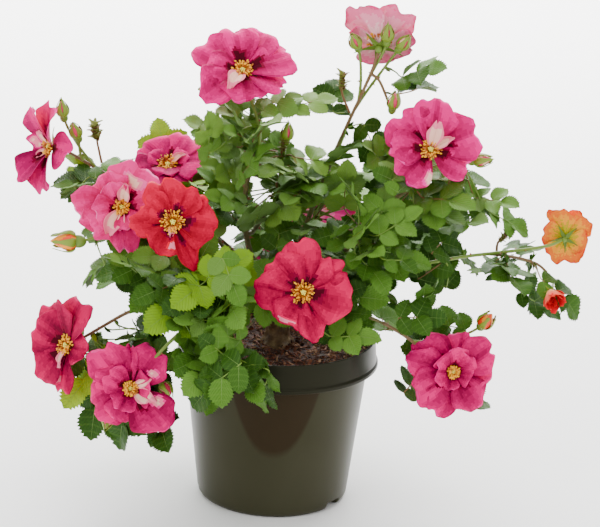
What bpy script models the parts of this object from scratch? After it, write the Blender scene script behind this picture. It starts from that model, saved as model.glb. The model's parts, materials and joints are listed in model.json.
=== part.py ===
"""Potted rose bush: a plastic nursery pot, its compost, and a bush of thorny canes.

The origin is the centre of the pot's flat underside, +Z is up and the bush's
best side looks along -Y. Every cane is one tapering limb. Where a cane enters
a mass of foliage it hands over, across a small gap, to that mass's own stem,
and the mass's shoots, leaves, blooms and buds are fused into one solid.
"""

import math
import random
from collections import namedtuple

import bmesh
import bpy
import numpy as np
from mathutils import Vector, kdtree

MM = 0.001
GAP = 0.3 * MM                      # clearance between touching pieces

# --- Pot ---------------------------------------------------------------------
POT_HEIGHT = 157.5 * MM
POT_RIM_RADIUS = 91.8 * MM          # outside, at the top of the collar
POT_LIP_RADIUS = 95.0 * MM          # outside, at the collar's lower edge
POT_NECK_RADIUS = 85.6 * MM         # outside, where the body meets the collar
POT_BASE_RADIUS = 70.5 * MM         # outside, body wall run down to the floor
COLLAR_FOOT = 131.0 * MM            # height of the collar's lower edge
WALL = 1.8 * MM
FOOT_ROUND = 7.0 * MM               # rounded corner between wall and foot
FLOOR_RECESS = 3.0 * MM             # underside between centre disc and foot ring
CENTRE_DISC_RADIUS = 22.0 * MM
FOOT_RING_WIDTH = 5.0 * MM
POT_SIDES = 40
NOTCH_ANGLES = (55.0, 128.0, 202.0, 275.0)   # drain notches, degrees right of front
NOTCH_WIDTH = 20.0 * MM
NOTCH_HEIGHT = 7.5 * MM

# --- Compost and the short woody stem -----------------------------------------
SOIL_LEVEL = 147.5 * MM             # against the pot wall
SOIL_MOUND = 1.5 * MM               # rise towards the stem
SOIL_CENTRE_RADIUS = 24.0 * MM
STEM_FLARE_RADIUS = 17.0 * MM
STEM_WAIST_RADIUS = 10.5 * MM
KNOB_RADIUS = 15.0 * MM             # swollen crown that the canes spring from
KNOB_CENTRE = Vector((0.0, 0.0, 180.0)) * MM
KNOB_FLATTEN = 0.6                  # canes spring more from its flanks than from its top

# --- Canes, shoots and leaves ---------------------------------------------------
CANE_SIDES = 5
CANE_STEPS = 7
CANE_COLLAR = 2.5 * MM              # straight length where a cane or a mass's stem starts
TWIG_SIDES = 3
STEM_RADIUS = 1.7 * MM              # a mass's own stem where it starts
SHOOT_RADIUS = 1.3 * MM
TIP_RADIUS = 0.8 * MM
STEM_NODES = (0.1, 0.25, 0.4, 0.55, 0.7)     # shares of a stem where leaves spring
FORKS = (0.42, 0.62, 0.30, 0.72)    # shares of the stem where its shoots leave it
LEAF_DEPTHS = (0.74, 0.46)          # leaf middles, as shares of the mass's reach
LEAF_CHOICE = 3                     # places tried for each leaf that a mass carries
CROWN_MIDDLE = Vector((0.0, 10.0, 170.0)) * MM
LEAF_LENGTH = 78.0 * MM             # petiole, rachis and end leaflet together
LEAFLET_LENGTH = 30.8 * MM
LEAFLET_WIDTH = 21.5 * MM
LEAFLET_THICKNESS = 0.8 * MM
RACHIS_RADIUS = 0.8 * MM
PAIR_PLACES = (0.19, 0.465)         # leaflet pairs along the rachis
END_PLACE = 0.605                   # where the end leaflet starts
PAIR_SPREAD = math.radians(60.0)
GOLDEN_ANGLE = math.radians(137.5)
LEAF_SAG = 0.10
LEAF_TRIES = 40
LEAF_SHIFT = 40.0 * MM              # how far a leaf may end up from its target
SPACE = 1.2                         # a mass's space, as a multiple of its reach
LEAFLET_ROOM = 3.2 * MM             # least distance between two leaves
LIGHT = Vector((0.0, -0.50, 0.54))  # pull on the leaf blades
CELL_MARGIN = 0.6 * MM              # between neighbouring masses
LIMB_MARGIN = 3.0 * MM
BLOOM_DEPTHS = (-0.38, 1.2)          # kept free behind and before a bloom, by its radius
BLOOM_SPREAD = 0.92

Bloom = namedtuple("Bloom", "at facing radius")      # facing: azimuth, elevation
Bud = namedtuple("Bud", "at facing radius length", defaults=(5.5, 19.0))
Cane = namedtuple("Cane", "parent fork via entry radius")
Mass = namedtuple("Mass", "centre reach leaves blooms buds sprays")
Opening = namedtuple("Opening", "x z wide tall")

# Places are millimetres. Azimuths are degrees to the right of the front (-Y).
# A cane forks from its parent at a share of the parent's length, passes `via`
# and ends at `entry`. Canes with no parent spring from the knob. `sprays` are
# leaves with a place of their own, and `leaves` is how many others a mass has.
CANES = {
    "top_left": Cane(None, 0, (-34, 6, 262), (-24, 2, 335), 3.2),
    "top_right": Cane(None, 0, (22, 16, 256), (52, 20, 342), 3.2),
    "right_high": Cane(None, 0, (54, -2, 246), (112, -12, 302), 3.0),
    "far_right": Cane(None, 0, (64, -30, 216), (136, -20, 237), 3.0),
    "left": Cane(None, 0, (-34, -24, 218), (-82, -30, 236), 3.0),
    "low_left": Cane(None, 0, (-58, -6, 194), (-122, -22, 186), 3.0),
    "back_left": Cane(None, 0, (-40, 40, 218), (-80, 70, 240), 2.9),
    "back": Cane(None, 0, (10, 55, 206), (22, 105, 222), 2.9),
    "front": Cane(None, 0, (6, -32, 188), (12, -52, 196), 2.6),
    "low_front_left": Cane("low_left", 0.40, (-66, -44, 190), (-84, -66, 180), 2.2),
    "front_low": Cane(None, 0, (-22, -44, 184), (-34, -82, 178), 2.3),
    "low_right": Cane("far_right", 0.28, (62, -34, 196), (96, -40, 184), 2.3),
    "far_left": Cane("left", 0.52, (-78, 6, 262), (-142, 22, 288), 2.2),
    "young_left": Cane("left", 0.30, (-34, -40, 208), (-44, -60, 212), 2.0),
    "inner": Cane("top_left", 0.42, (-18, 18, 262), (-6, 24, 280), 2.0),
    "inner_right": Cane("right_high", 0.50, (60, -26, 248), (66, -34, 262), 2.0),
    "back_right": Cane("back", 0.45, (52, 78, 202), (84, 92, 204), 2.2),
    "low_back_left": Cane("back_left", 0.40, (-64, 72, 206), (-90, 100, 196), 2.1),
    "low_back": Cane("back", 0.62, (14, 110, 200), (8, 128, 186), 2.0),
}

MASSES = {
    "top_left": Mass((-30, 2, 354), (80, 58, 54), 3,
                     [Bloom((-40, 0, 411), (5, 48), 46)], [],
                     [(-57, -6, 345), (10, 8, 378), (-28, 16, 326)]),
    "top_right": Mass((80, 20, 384), (80, 54, 70), 1,
                      [Bloom((82, 32, 434), (180, 38), 38)],
                      [Bud((60, 16, 432), (-35, 50)), Bud((89, 16, 440), (5, 70)),
                       Bud((104, 18, 432), (45, 50)), Bud((97, 0, 382), (20, 70))],
                      [(44, 14, 378), (129, 20, 409), (84, 10, 348)]),
    "right_high": Mass((142, -8, 306), (88, 60, 62), 2,
                      [Bloom((133, -34, 355), (2, 30), 46)],
                      [Bud((178, -18, 335), (85, 10))],
                      [(98, 6, 334), (176, -10, 292), (104, -10, 296), (136, -20, 286),
                       (170, 0, 310)]),
    "far_left": Mass((-178, 26, 300), (56, 52, 48), 2,
                     [Bloom((-224, 18, 323), (-62, 8), 43)],
                     [Bud((-204, 20, 358), (-20, 70)), Bud((-192, 20, 338), (-30, 60))],
                     [(-186, 30, 288), (-156, 24, 300)]),
    "left": Mass((-128, -32, 236), (80, 66, 62), 5,
                 [Bloom((-150, -34, 283), (-10, 12), 43),
                  Bloom((-96, -74, 283), (4, 18), 42)],
                 [Bud((-196, -28, 247), (-85, 0), 8.5, 27.0)],
                 [(-166, -20, 222), (-128, -10, 204)]),
    "front": Mass((34, -52, 200), (80, 62, 58), 4,
                  [Bloom((22, -86, 226), (3, 20), 47)], [],
                  [(78, -54, 224), (62, -46, 176)]),
    "low_left": Mass((-164, -4, 146), (64, 58, 64), 2,
                     [Bloom((-201, -40, 156), (-48, 18), 44)], [],
                     [(-160, 4, 112), (-108, -20, 160)]),
    "low_front_left": Mass((-122, -46, 112), (74, 56, 58), 2,
                           [Bloom((-131, -80, 125), (0, 10), 44)],
                           [Bud((-99, -66, 122), (30, -20)),
                            Bud((-152, -62, 88), (-10, -35))],
                           [(-138, -50, 90), (-80, -82, 106), (-164, -24, 106)]),
    "front_low": Mass((-38, -108, 168), (54, 46, 46), 4, [], [],
                      [(-34, -112, 168), (-58, -104, 172)]),
    "low_right": Mass((146, -34, 156), (78, 62, 66), 2,
                      [Bloom((159, -46, 144), (10, 18), 44)],
                      [Bud((192, -20, 184), (40, 50), 6.5, 21.0)],
                      [(134, -20, 189), (110, -40, 108), (144, -30, 102)]),
    "far_right": Mass((200, -4, 232), (84, 54, 66), 2,
                      [Bloom((262, 0, 263), (165, 10), 26)],
                      [Bud((253, -2, 216), (50, -50), 11.0, 27.0)],
                      [(154, -14, 256), (194, -8, 234), (236, 16, 206), (218, 4, 250)]),
    "young_left": Mass((-54, -70, 212), (66, 60, 56), 6, [], [],
                       [(-70, -84, 216), (-34, -84, 196)]),
    "inner": Mass((-6, 14, 298), (68, 62, 60), 6, [], [Bud((2, 12, 346), (20, 75))],
                  [(-62, 30, 300), (16, 30, 306)]),
    "inner_right": Mass((76, -24, 264), (64, 60, 60), 7, [], [], []),
    "back_left": Mass((-104, 84, 272), (76, 68, 62), 6,
                      [Bloom((-111, 80, 299), (-8, 55), 38)], [], []),
    "back": Mass((26, 138, 236), (84, 70, 60), 6,
                 [Bloom((36, 176, 236), (172, 28), 45)], [], []),
    "back_right": Mass((112, 98, 204), (72, 72, 64), 6,
                       [Bloom((130, 140, 206), (140, 20), 43)], [], []),
    "low_back_left": Mass((-112, 126, 185), (80, 70, 62), 6,
                          [Bloom((-124, 160, 196), (205, 20), 44)], [], []),
    "low_back": Mass((2, 150, 160), (74, 62, 58), 6,
                     [Bloom((-14, 186, 156), (184, 6), 42)], [], []),
}

# Places where one sees through the crown from the viewpoint: middle across and up, half
# width and half height, where the line of sight passes the bush's middle plane.
VIEWPOINT = Vector((0.0, -1900.0, 814.0)) * MM
OPENINGS = [
    Opening(20, 352, 26, 12), Opening(16, 427, 32, 31), Opening(208, 352, 30, 46),
    Opening(186, 258, 22, 9), Opening(197, 203, 24, 15), Opening(-168, 176, 32, 20),
    Opening(-213, 213, 22, 11), Opening(-153, 334, 14, 12), Opening(104, 142, 9, 18),
    Opening(-23, 292, 7, 13), Opening(32, 276, 16, 5), Opening(118, 206, 11, 9),
    Opening(170, 197, 11, 11), Opening(262, 264, 24, 27),
    Opening(59, 276, 6, 6), Opening(-50, 247, 6, 5), Opening(76, 380, 18, 9),
    Opening(2, 146, 34, 11), Opening(211, 150, 16, 22), Opening(-80, 376, 14, 12),
    Opening(234, 298, 18, 18),
]


# --- Growth rule ------------------------------------------------------------------

def place(point):
    return Vector(point) * MM


def heading(azimuth, elevation):
    """Unit vector of a compass direction, measured from the front to the right."""
    a, e = math.radians(azimuth), math.radians(elevation)
    return Vector((math.sin(a) * math.cos(e), -math.cos(a) * math.cos(e), math.sin(e)))


def bent(start, via, end, steps):
    """Points of a parabola from start to end that passes via at half way."""
    control = 2 * via - (start + end) / 2
    points = []
    for i in range(steps + 1):
        t = i / steps
        points.append((1 - t) ** 2 * start + 2 * t * (1 - t) * control + t * t * end)
    return points


def grown(start, heading_out, end, heading_in, steps):
    """Points of a smooth shoot from start to end with the two given headings."""
    reach = (end - start).length
    a, b = heading_out * reach * 0.9, heading_in * reach * 0.6
    points = []
    for i in range(steps + 1):
        t = i / steps
        h1, h2 = 2 * t**3 - 3 * t**2 + 1, t**3 - 2 * t**2 + t
        h3, h4 = -2 * t**3 + 3 * t**2, t**3 - t**2
        points.append(h1 * start + h2 * a + h3 * end + h4 * b)
    return points


def along(points, share):
    """Place and heading at a share of the length of a run of points."""
    lengths = [(q - p).length for p, q in zip(points, points[1:])]
    left = max(0.0, min(1.0, share)) * sum(lengths)
    for p, q, length in zip(points, points[1:], lengths):
        if left <= length:
            break
        left -= length
    return p.lerp(q, min(1.0, left / length)), (q - p).normalized()


def cane_run(name, steps=CANE_STEPS):
    """Centre line of a cane, from its parent's skin to the mass that it carries."""
    cane = CANES[name]
    via, entry = place(cane.via), place(cane.entry)
    if cane.parent is None:
        out = via - KNOB_CENTRE
        out.z *= KNOB_FLATTEN
        out.normalize()
        start = KNOB_CENTRE + out * (KNOB_RADIUS + GAP)
    else:
        parent = CANES[cane.parent]
        spot, ahead = along(cane_run(cane.parent), cane.fork)
        out = via - spot
        out = (out - ahead * out.dot(ahead)).normalized()
        start = spot + out * (parent.radius * MM + GAP)
    return [start] + bent(start + out * CANE_COLLAR, via, entry, steps - 1)


def cell_site(mass):
    """Middle of a mass's cell: half way from its leaves to its blooms."""
    if not mass.blooms:
        return np.array(mass.centre) * MM
    flowers = np.mean([bloom.at for bloom in mass.blooms], axis=0)
    return (np.array(mass.centre) + flowers) / 2 * MM


SITES = {name: cell_site(mass) for name, mass in MASSES.items()}
SIZES = {name: (np.mean(mass.reach) * MM) ** 2 for name, mass in MASSES.items()}
ALL_BLOOMS = [bloom for mass in MASSES.values() for bloom in mass.blooms]


def inside_cell(name, points):
    """True if all points are nearer this mass than any other, each by its size."""
    mine = ((points - SITES[name]) ** 2).sum(1) - SIZES[name]
    for other in MASSES:
        if other == name:
            continue
        apart = np.linalg.norm(SITES[other] - SITES[name])
        theirs = ((points - SITES[other]) ** 2).sum(1) - SIZES[other]
        if ((theirs - mine) / (2 * apart)).min() < CELL_MARGIN:
            return False
    return True


def inside_reach(name, points):
    mass = MASSES[name]
    scaled = (points - np.array(mass.centre) * MM) / (np.array(mass.reach) * SPACE * MM)
    return (scaled ** 2).sum(1).max() <= 1.0


def clear_of_limbs(points, limbs):
    """True if no point comes near any of the limbs' (name, places, radius)."""
    for _, places, radius in limbs:
        apart = np.linalg.norm(points[:, None, :] - places[None, :, :], axis=2)
        if apart.min() < radius + LIMB_MARGIN:
            return False
    return True


def clear_of_pot(points):
    """True outside the pot and above its compost."""
    margin = 4 * MM
    out = np.hypot(points[:, 0], points[:, 1]) > POT_LIP_RADIUS + margin
    above = points[:, 2] > POT_HEIGHT + margin
    return bool((out | above).all()) and points[:, 2].min() > 10 * MM


def clear_of_blooms(points):
    """True if nothing pierces a bloom or stands in front of its face."""
    for bloom in ALL_BLOOMS:
        face = np.array(heading(*bloom.facing))
        radius = bloom.radius * MM
        off = points - np.array(bloom.at) * MM
        height = off @ face
        sideways = np.linalg.norm(off - np.outer(height, face), axis=1)
        near = (height > BLOOM_DEPTHS[0] * radius) & (height < BLOOM_DEPTHS[1] * radius)
        if (near & (sideways < BLOOM_SPREAD * radius)).any():
            return False
    return True


def clear_of_openings(points):
    """True if no point stands in the way of one of the crown's openings."""
    nearness = VIEWPOINT.y / (VIEWPOINT.y - points[:, 1])
    across = points[:, 0] * nearness / MM
    up = (VIEWPOINT.z + (points[:, 2] - VIEWPOINT.z) * nearness) / MM
    for x, z, wide, tall in OPENINGS:
        if (((across - x) / wide) ** 2 + ((up - z) / tall) ** 2 < 1).any():
            return False
    return True


def free(name, points, limbs):
    points = np.array(points)
    return (inside_cell(name, points) and inside_reach(name, points)
            and clear_of_pot(points) and clear_of_blooms(points)
            and clear_of_openings(points) and clear_of_limbs(points, limbs))


def leaf_parts(root, axis, face, scale):
    """Spine points of one compound leaf, and (foot, axis, length) of its leaflets.

    The spine runs first pair, second pair, end leaflet's foot. Leaflets run
    left and right of each pair, then the end one.
    """
    side = axis.cross(face).normalized()
    length = LEAF_LENGTH * scale
    sag = Vector((0, 0, -LEAF_SAG * length))

    def spine(share):
        return root + axis * length * share + sag * share * share

    leaflets = []
    for share, size in zip(PAIR_PLACES, (0.86, 1.0)):
        for hand in (-1, 1):
            out = axis * math.cos(PAIR_SPREAD) + side * hand * math.sin(PAIR_SPREAD)
            leaflets.append((spine(share), out, LEAFLET_LENGTH * scale * size))
    end = spine(1.0) - spine(END_PLACE)
    leaflets.append((spine(END_PLACE), end.normalized(), end.length))
    return [spine(share) for share in (*PAIR_PLACES, END_PLACE)], leaflets


def leaflet_corners(foot, axis, face, length):
    """Tip, left and right corners and the high point of one leaflet."""
    side = axis.cross(face).normalized()
    up = side.cross(axis).normalized()
    middle = foot + axis * length * 0.47
    half = side * length * LEAFLET_WIDTH / LEAFLET_LENGTH / 2
    return foot + axis * length, middle - half, middle + half, middle + up * LEAFLET_THICKNESS


def leaf_samples(parts, face):
    spine, leaflets = parts
    points = list(spine)
    for foot, axis, length in leaflets:
        tip, left, right = leaflet_corners(foot, axis, face, length)[:3]
        points += [tip, left, right, (left + right) / 2]
        points += [(left + tip) / 2, (right + tip) / 2, (foot + left) / 2, (foot + right) / 2]
    return points


class Crowd:
    """Points of the leaves that are already placed."""

    def __init__(self):
        self.points = []
        self.tree = kdtree.KDTree(0)
        self.tree.balance()

    def add(self, points):
        self.points += points
        self.tree = kdtree.KDTree(len(self.points))
        for i, point in enumerate(self.points):
            self.tree.insert(point, i)
        self.tree.balance()

    def leaves_room(self, points):
        """True if none of these points comes near a leaf."""
        if not self.points:
            return True
        return all(self.tree.find(point)[2] > LEAFLET_ROOM for point in points)


def leaf_targets(name):
    """Middles of a mass's leaves: those named, then an even spread over its reach."""
    mass = MASSES[name]
    targets = [place(spray) for spray in mass.sprays]
    phase = random.Random(name).uniform(0, 2 * math.pi)
    count = mass.leaves * LEAF_CHOICE
    for i in range(count):
        rise = 0.8 - 1.5 * (i * LEAF_CHOICE % count + 0.5) / count
        angle = phase + i * GOLDEN_ANGLE
        flat = math.sqrt(1 - rise * rise)
        way = Vector((flat * math.cos(angle), flat * math.sin(angle), rise)) * LEAF_DEPTHS[i % 2]
        targets.append(place(mass.centre) + Vector([w * r * MM for w, r in zip(way, mass.reach)]))
    return targets


def nearest_on(runs, point):
    """Place and heading on the shoots where a leaf at this point would spring from."""
    best = None
    for run in runs:
        for share in STEM_NODES:
            foot, ahead = along(run, share)
            # A leaf rises from its node, so a node below it counts as nearer.
            apart = (point - foot).length + 0.5 * max(0.0, foot.z - point.z)
            if best is None or apart < best[0]:
                best = (apart, foot, ahead)
    return best[1:]


def stems(name):
    """The mass's own stem from its cane to its first bloom, and shoots to the others."""
    mass = MASSES[name]
    cane = cane_run(name)
    ahead = (cane[-1] - cane[-2]).normalized()
    ends = [(place(b.at) - heading(*b.facing) * b.radius * MM * 0.32, heading(*b.facing))
            for b in mass.blooms]
    ends += [(place(b.at) - heading(*b.facing) * b.length * MM * 0.45, heading(*b.facing))
             for b in mass.buds]
    if not mass.blooms:
        ends.insert(0, (place(mass.centre), (ahead + Vector((0, 0, 1))).normalized()))
    start = cane[-1] + ahead * GAP
    runs = [[start] + grown(start + ahead * CANE_COLLAR, ahead, *ends[0], 4)]
    for i, (tip, facing) in enumerate(ends[1:]):
        foot, foot_ahead = along(runs[0], FORKS[i % len(FORKS)])
        out = (foot_ahead + (tip - foot).normalized()).normalized()
        runs.append(grown(foot, out, tip, facing, 4))
    return runs


def all_limbs():
    """(mass or None, places, radius) of every cane and every mass's stems."""
    limbs = []
    for name, cane in CANES.items():
        limbs.append((None, cane_run(name, 48), cane.radius * MM))
    for name, mass in MASSES.items():
        for run in stems(name):
            spots = [along(run, i / 30)[0] for i in range(31)]
            limbs.append((name, spots, STEM_RADIUS))
        for bud in mass.buds:
            body = heading(*bud.facing) * bud.length * MM
            spots = [place(bud.at) + body * share for share in (-0.4, -0.2, 0.0, 0.2, 0.4)]
            limbs.append((name, spots, bud.radius * MM))
    return [(name, np.array(places), radius) for name, places, radius in limbs]


def fitted_leaf(name, runs, target, index, limbs, crowd):
    """Stalk, parts and face of one leaf about a target, or None where none fits."""
    draw = random.Random(f"{name} {index}")
    others = [limb for limb in limbs if limb[0] != name]
    for attempt in range(LEAF_TRIES):
        loose = attempt / LEAF_TRIES
        stray = Vector([draw.uniform(-1, 1) for _ in range(3)]) * (0.3 + 1.5 * loose)
        shift = Vector([draw.uniform(-1, 1) for _ in range(3)]) * LEAF_SHIFT * loose
        middle = target + shift
        foot, ahead = nearest_on(runs, middle)
        away = (middle - foot).normalized()
        outward = (middle - CROWN_MIDDLE).normalized()
        scale = draw.uniform(0.92, 1.08) * (1.0 - 0.3 * loose)
        axis = (away + outward * 0.4 + stray).normalized()
        face = LIGHT + outward * 0.45 + stray * 0.15
        face = (face - axis * face.dot(axis)).normalized()
        root = middle - axis * LEAF_LENGTH * scale * 0.55
        parts = leaf_parts(root, axis, face, scale)
        blades = leaf_samples(parts, face)
        if not crowd.leaves_room(blades) or not free(name, blades, limbs):
            continue
        stalk = grown(foot, (ahead + away).normalized(), parts[0][0], axis, 4)
        spots = np.array(stalk[1:])
        if (crowd.leaves_room(stalk[1:]) and clear_of_limbs(spots, others)
                and clear_of_pot(spots) and clear_of_blooms(spots)):
            crowd.add(blades + stalk[2:])
            return stalk[:4:2], parts, face
    return None


def growth(name, limbs, crowd):
    """Stem and shoots, then (stalk, parts, face) of every leaf of one mass."""
    runs = stems(name)
    leaves = []
    wanted = MASSES[name].leaves + len(MASSES[name].sprays)
    for index, target in enumerate(leaf_targets(name)):
        leaf = len(leaves) < wanted and fitted_leaf(name, runs, target, index, limbs, crowd)
        if leaf:
            leaves.append(leaf)
    return runs, leaves


# --- Solids -------------------------------------------------------------------------

def new_object(name, verts, faces, colour, roughness):
    mesh = bpy.data.meshes.new(name)
    mesh.from_pydata([tuple(v) for v in verts], [], faces)
    mesh.validate()
    bm = bmesh.new()
    bm.from_mesh(mesh)
    bmesh.ops.recalc_face_normals(bm, faces=bm.faces)
    bm.to_mesh(mesh)
    bm.free()
    obj = bpy.data.objects.new(name, mesh)
    bpy.context.scene.collection.objects.link(obj)
    mesh.materials.append(material(name, colour, roughness))
    return obj


def material(name, colour, roughness):
    mat = bpy.data.materials.new(name)
    mat.use_nodes = True
    shader = mat.node_tree.nodes["Principled BSDF"]
    shader.inputs["Base Color"].default_value = (*colour, 1.0)
    shader.inputs["Roughness"].default_value = roughness
    shader.inputs["Metallic"].default_value = 0.0
    return mat


def tube(points, radius, end_radius, sides):
    """Closed tapering tube along a run of points."""
    verts, faces = [], []
    count = len(points)
    across = (points[1] - points[0]).orthogonal().normalized()
    for i, point in enumerate(points):
        ahead = (points[min(i + 1, count - 1)] - points[max(i - 1, 0)]).normalized()
        across = (across - ahead * across.dot(ahead)).normalized()
        over = ahead.cross(across)
        r = radius + (end_radius - radius) * i / (count - 1)
        for k in range(sides):
            a = 2 * math.pi * k / sides
            verts.append(point + (across * math.cos(a) + over * math.sin(a)) * r)
    for i in range(count - 1):
        for k in range(sides):
            a, b = i * sides + k, i * sides + (k + 1) % sides
            faces.append((a, b, b + sides, a + sides))
    faces.append(tuple(range(sides))[::-1])
    faces.append(tuple(range((count - 1) * sides, count * sides)))
    return verts, faces


def leaf_solid(stalk, parts, face):
    """One compound leaf as a closed mesh: ridged stalk and leaflets, flat beneath."""
    spine, leaflets = parts
    line = stalk + spine
    first_pair = len(stalk)
    verts, faces = [], []

    def add(point):
        verts.append(point)
        return len(verts) - 1

    def blade(leaflet, ridge, near, far):
        """One leaflet that grows out of the edge from near to far."""
        foot, axis, length = leaflet
        tip, left, right, high = (add(v) for v in leaflet_corners(foot, axis, face, length))
        outline = (near, left, tip, right, far)
        for a, b in zip(outline, outline[1:]):
            faces.append((a, b, high))
        faces.extend([(ridge, near, high), (far, ridge, high), outline[::-1]])

    # A station has a ridge and, left and right, a near and a far edge point.
    stations = []
    side = (spine[-1] - spine[0]).cross(face).normalized()
    for i in reversed(range(len(line))):
        ahead = (line[min(i + 1, len(line) - 1)] - line[max(i - 1, 0)]).normalized()
        side = (side - ahead * side.dot(ahead)).normalized()
        rims = []
        for hand in (-1, 1):
            edge = line[i] + side * hand * RACHIS_RADIUS
            if first_pair <= i < len(line) - 1:
                spread = ahead * RACHIS_RADIUS * 1.5
                rims.append([add(edge - spread), add(edge + spread)])
            else:
                rims.append([add(edge)] * 2)
        ridge = add(line[i] + side.cross(ahead) * RACHIS_RADIUS)
        stations.insert(0, (ridge, *rims))
    for (ridge, left, right), (next_ridge, next_left, next_right) in zip(stations, stations[1:]):
        faces.append((ridge, next_ridge, next_left[0], left[1]))
        faces.append((ridge, right[1], next_right[0], next_ridge))
        faces.append((left[1], next_left[0], next_right[0], right[1]))
    faces.append((stations[0][0], stations[0][1][0], stations[0][2][0]))
    for i, (ridge, left, right) in enumerate(stations[first_pair:-1]):
        faces.append((left[0], left[1], right[1], right[0]))
        blade(leaflets[2 * i], ridge, left[0], left[1])
        blade(leaflets[2 * i + 1], ridge, right[1], right[0])
    ridge, left, right = stations[-1]
    blade(leaflets[-1], ridge, left[0], right[0])
    return verts, faces


def bloom_solid(bloom):
    """Open five-petalled bloom as a lobed dish, thick enough to hold its ruffles."""
    face = heading(*bloom.facing)
    radius = bloom.radius * MM
    across = face.cross(Vector((0, 0, 1))).normalized()
    over = across.cross(face)
    centre = place(bloom.at)
    sides = 10
    rings = ((0.42, -0.22, 0.0), (1.0, 0.08, 0.09), (0.55, 0.12, 0.0))
    verts = [centre - face * radius * 0.34]
    for share, height, lobe in rings:
        for k in range(sides):
            a = 2 * math.pi * (k + 0.25) / sides
            r = radius * share * (1 - lobe * (k % 2))
            rise = radius * (height - lobe * (k % 2))
            verts.append(centre + (across * math.cos(a) + over * math.sin(a)) * r
                         + face * rise)
    verts.append(centre - face * radius * 0.02)
    faces = []
    for k in range(sides):
        n = (k + 1) % sides
        faces.append((0, 1 + n, 1 + k))
        for ring in range(2):
            low = 1 + ring * sides
            faces += [(low + k, low + n, low + sides + n),
                      (low + k, low + sides + n, low + sides + k)]
        faces.append((1 + 2 * sides + k, 1 + 2 * sides + n, len(verts) - 1))
    return verts, faces


def bud_solid(bud):
    """Pointed bud as a six-sided spindle."""
    face = heading(*bud.facing)
    across = face.orthogonal().normalized()
    over = face.cross(across)
    centre = place(bud.at)
    radius, length = bud.radius * MM, bud.length * MM
    verts = [centre - face * length * 0.5, centre + face * length * 0.5]
    faces = []
    for k in range(6):
        a = math.pi * k / 3
        verts.append(centre - face * length * 0.14
                     + (across * math.cos(a) + over * math.sin(a)) * radius)
        faces += [(0, 2 + (k + 1) % 6, 2 + k), (1, 2 + k, 2 + (k + 1) % 6)]
    return verts, faces


def triangulate(obj):
    bm = bmesh.new()
    bm.from_mesh(obj.data)
    bmesh.ops.triangulate(bm, faces=bm.faces)
    bm.to_mesh(obj.data)
    bm.free()


def largest_shell(obj):
    """Drops every loose scrap and sealed hollow, and keeps the outer skin."""
    bm = bmesh.new()
    bm.from_mesh(obj.data)
    left = set(bm.faces)
    shells = []
    while left:
        seed = left.pop()
        shell, todo = {seed}, [seed]
        while todo:
            for edge in todo.pop().edges:
                for face in edge.link_faces:
                    if face not in shell:
                        shell.add(face)
                        todo.append(face)
        left -= shell
        shells.append(shell)
    keep = max(shells, key=len)
    bmesh.ops.delete(bm, geom=[f for f in bm.faces if f not in keep], context="FACES")
    bmesh.ops.triangulate(bm, faces=bm.faces)
    bm.to_mesh(obj.data)
    bm.free()


def fuse(name, pieces, colour, roughness):
    """One solid from overlapping closed pieces, by one union on a collection."""
    base = new_object(name, *pieces[0], colour, roughness)
    triangulate(base)
    others = bpy.data.collections.new(name + "_parts")
    for i, piece in enumerate(pieces[1:]):
        part = new_object(f"{name}_{i}", *piece, colour, roughness)
        triangulate(part)
        bpy.context.scene.collection.objects.unlink(part)
        others.objects.link(part)
    union = base.modifiers.new("union", "BOOLEAN")
    union.operation = "UNION"
    union.operand_type = "COLLECTION"
    union.collection = others
    union.solver = "MANIFOLD"
    graph = bpy.context.evaluated_depsgraph_get()
    fused = bpy.data.meshes.new_from_object(base.evaluated_get(graph))
    base.modifiers.clear()
    base.data = fused
    for part in list(others.objects):
        bpy.data.objects.remove(part)
    bpy.data.collections.remove(others)
    largest_shell(base)
    return base


def turned(name, profile, sides, colour, roughness):
    """Solid of revolution about Z from (radius, height) points, axis to axis."""
    verts, faces, rings = [], [], []
    for radius, height in profile:
        if radius < 1e-7:
            rings.append([len(verts)])
            verts.append(Vector((0, 0, height)))
            continue
        rings.append(list(range(len(verts), len(verts) + sides)))
        for k in range(sides):
            a = 2 * math.pi * k / sides
            verts.append(Vector((radius * math.cos(a), radius * math.sin(a), height)))
    for low, high in zip(rings, rings[1:]):
        for k in range(sides):
            n = (k + 1) % sides
            if len(low) == 1:
                faces.append((low[0], high[n], high[k]))
            elif len(high) == 1:
                faces.append((low[k], low[n], high[0]))
            else:
                faces.append((low[k], low[n], high[n], high[k]))
    obj = new_object(name, verts, faces, colour, roughness)
    obj.data.shade_smooth()
    obj.data.set_sharp_from_angle(angle=math.radians(35))
    return obj


# --- Pieces ------------------------------------------------------------------------

def wall_radius(height):
    """Outside radius of the tapered body at a height."""
    return POT_BASE_RADIUS + (POT_NECK_RADIUS - POT_BASE_RADIUS) * height / COLLAR_FOOT


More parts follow.
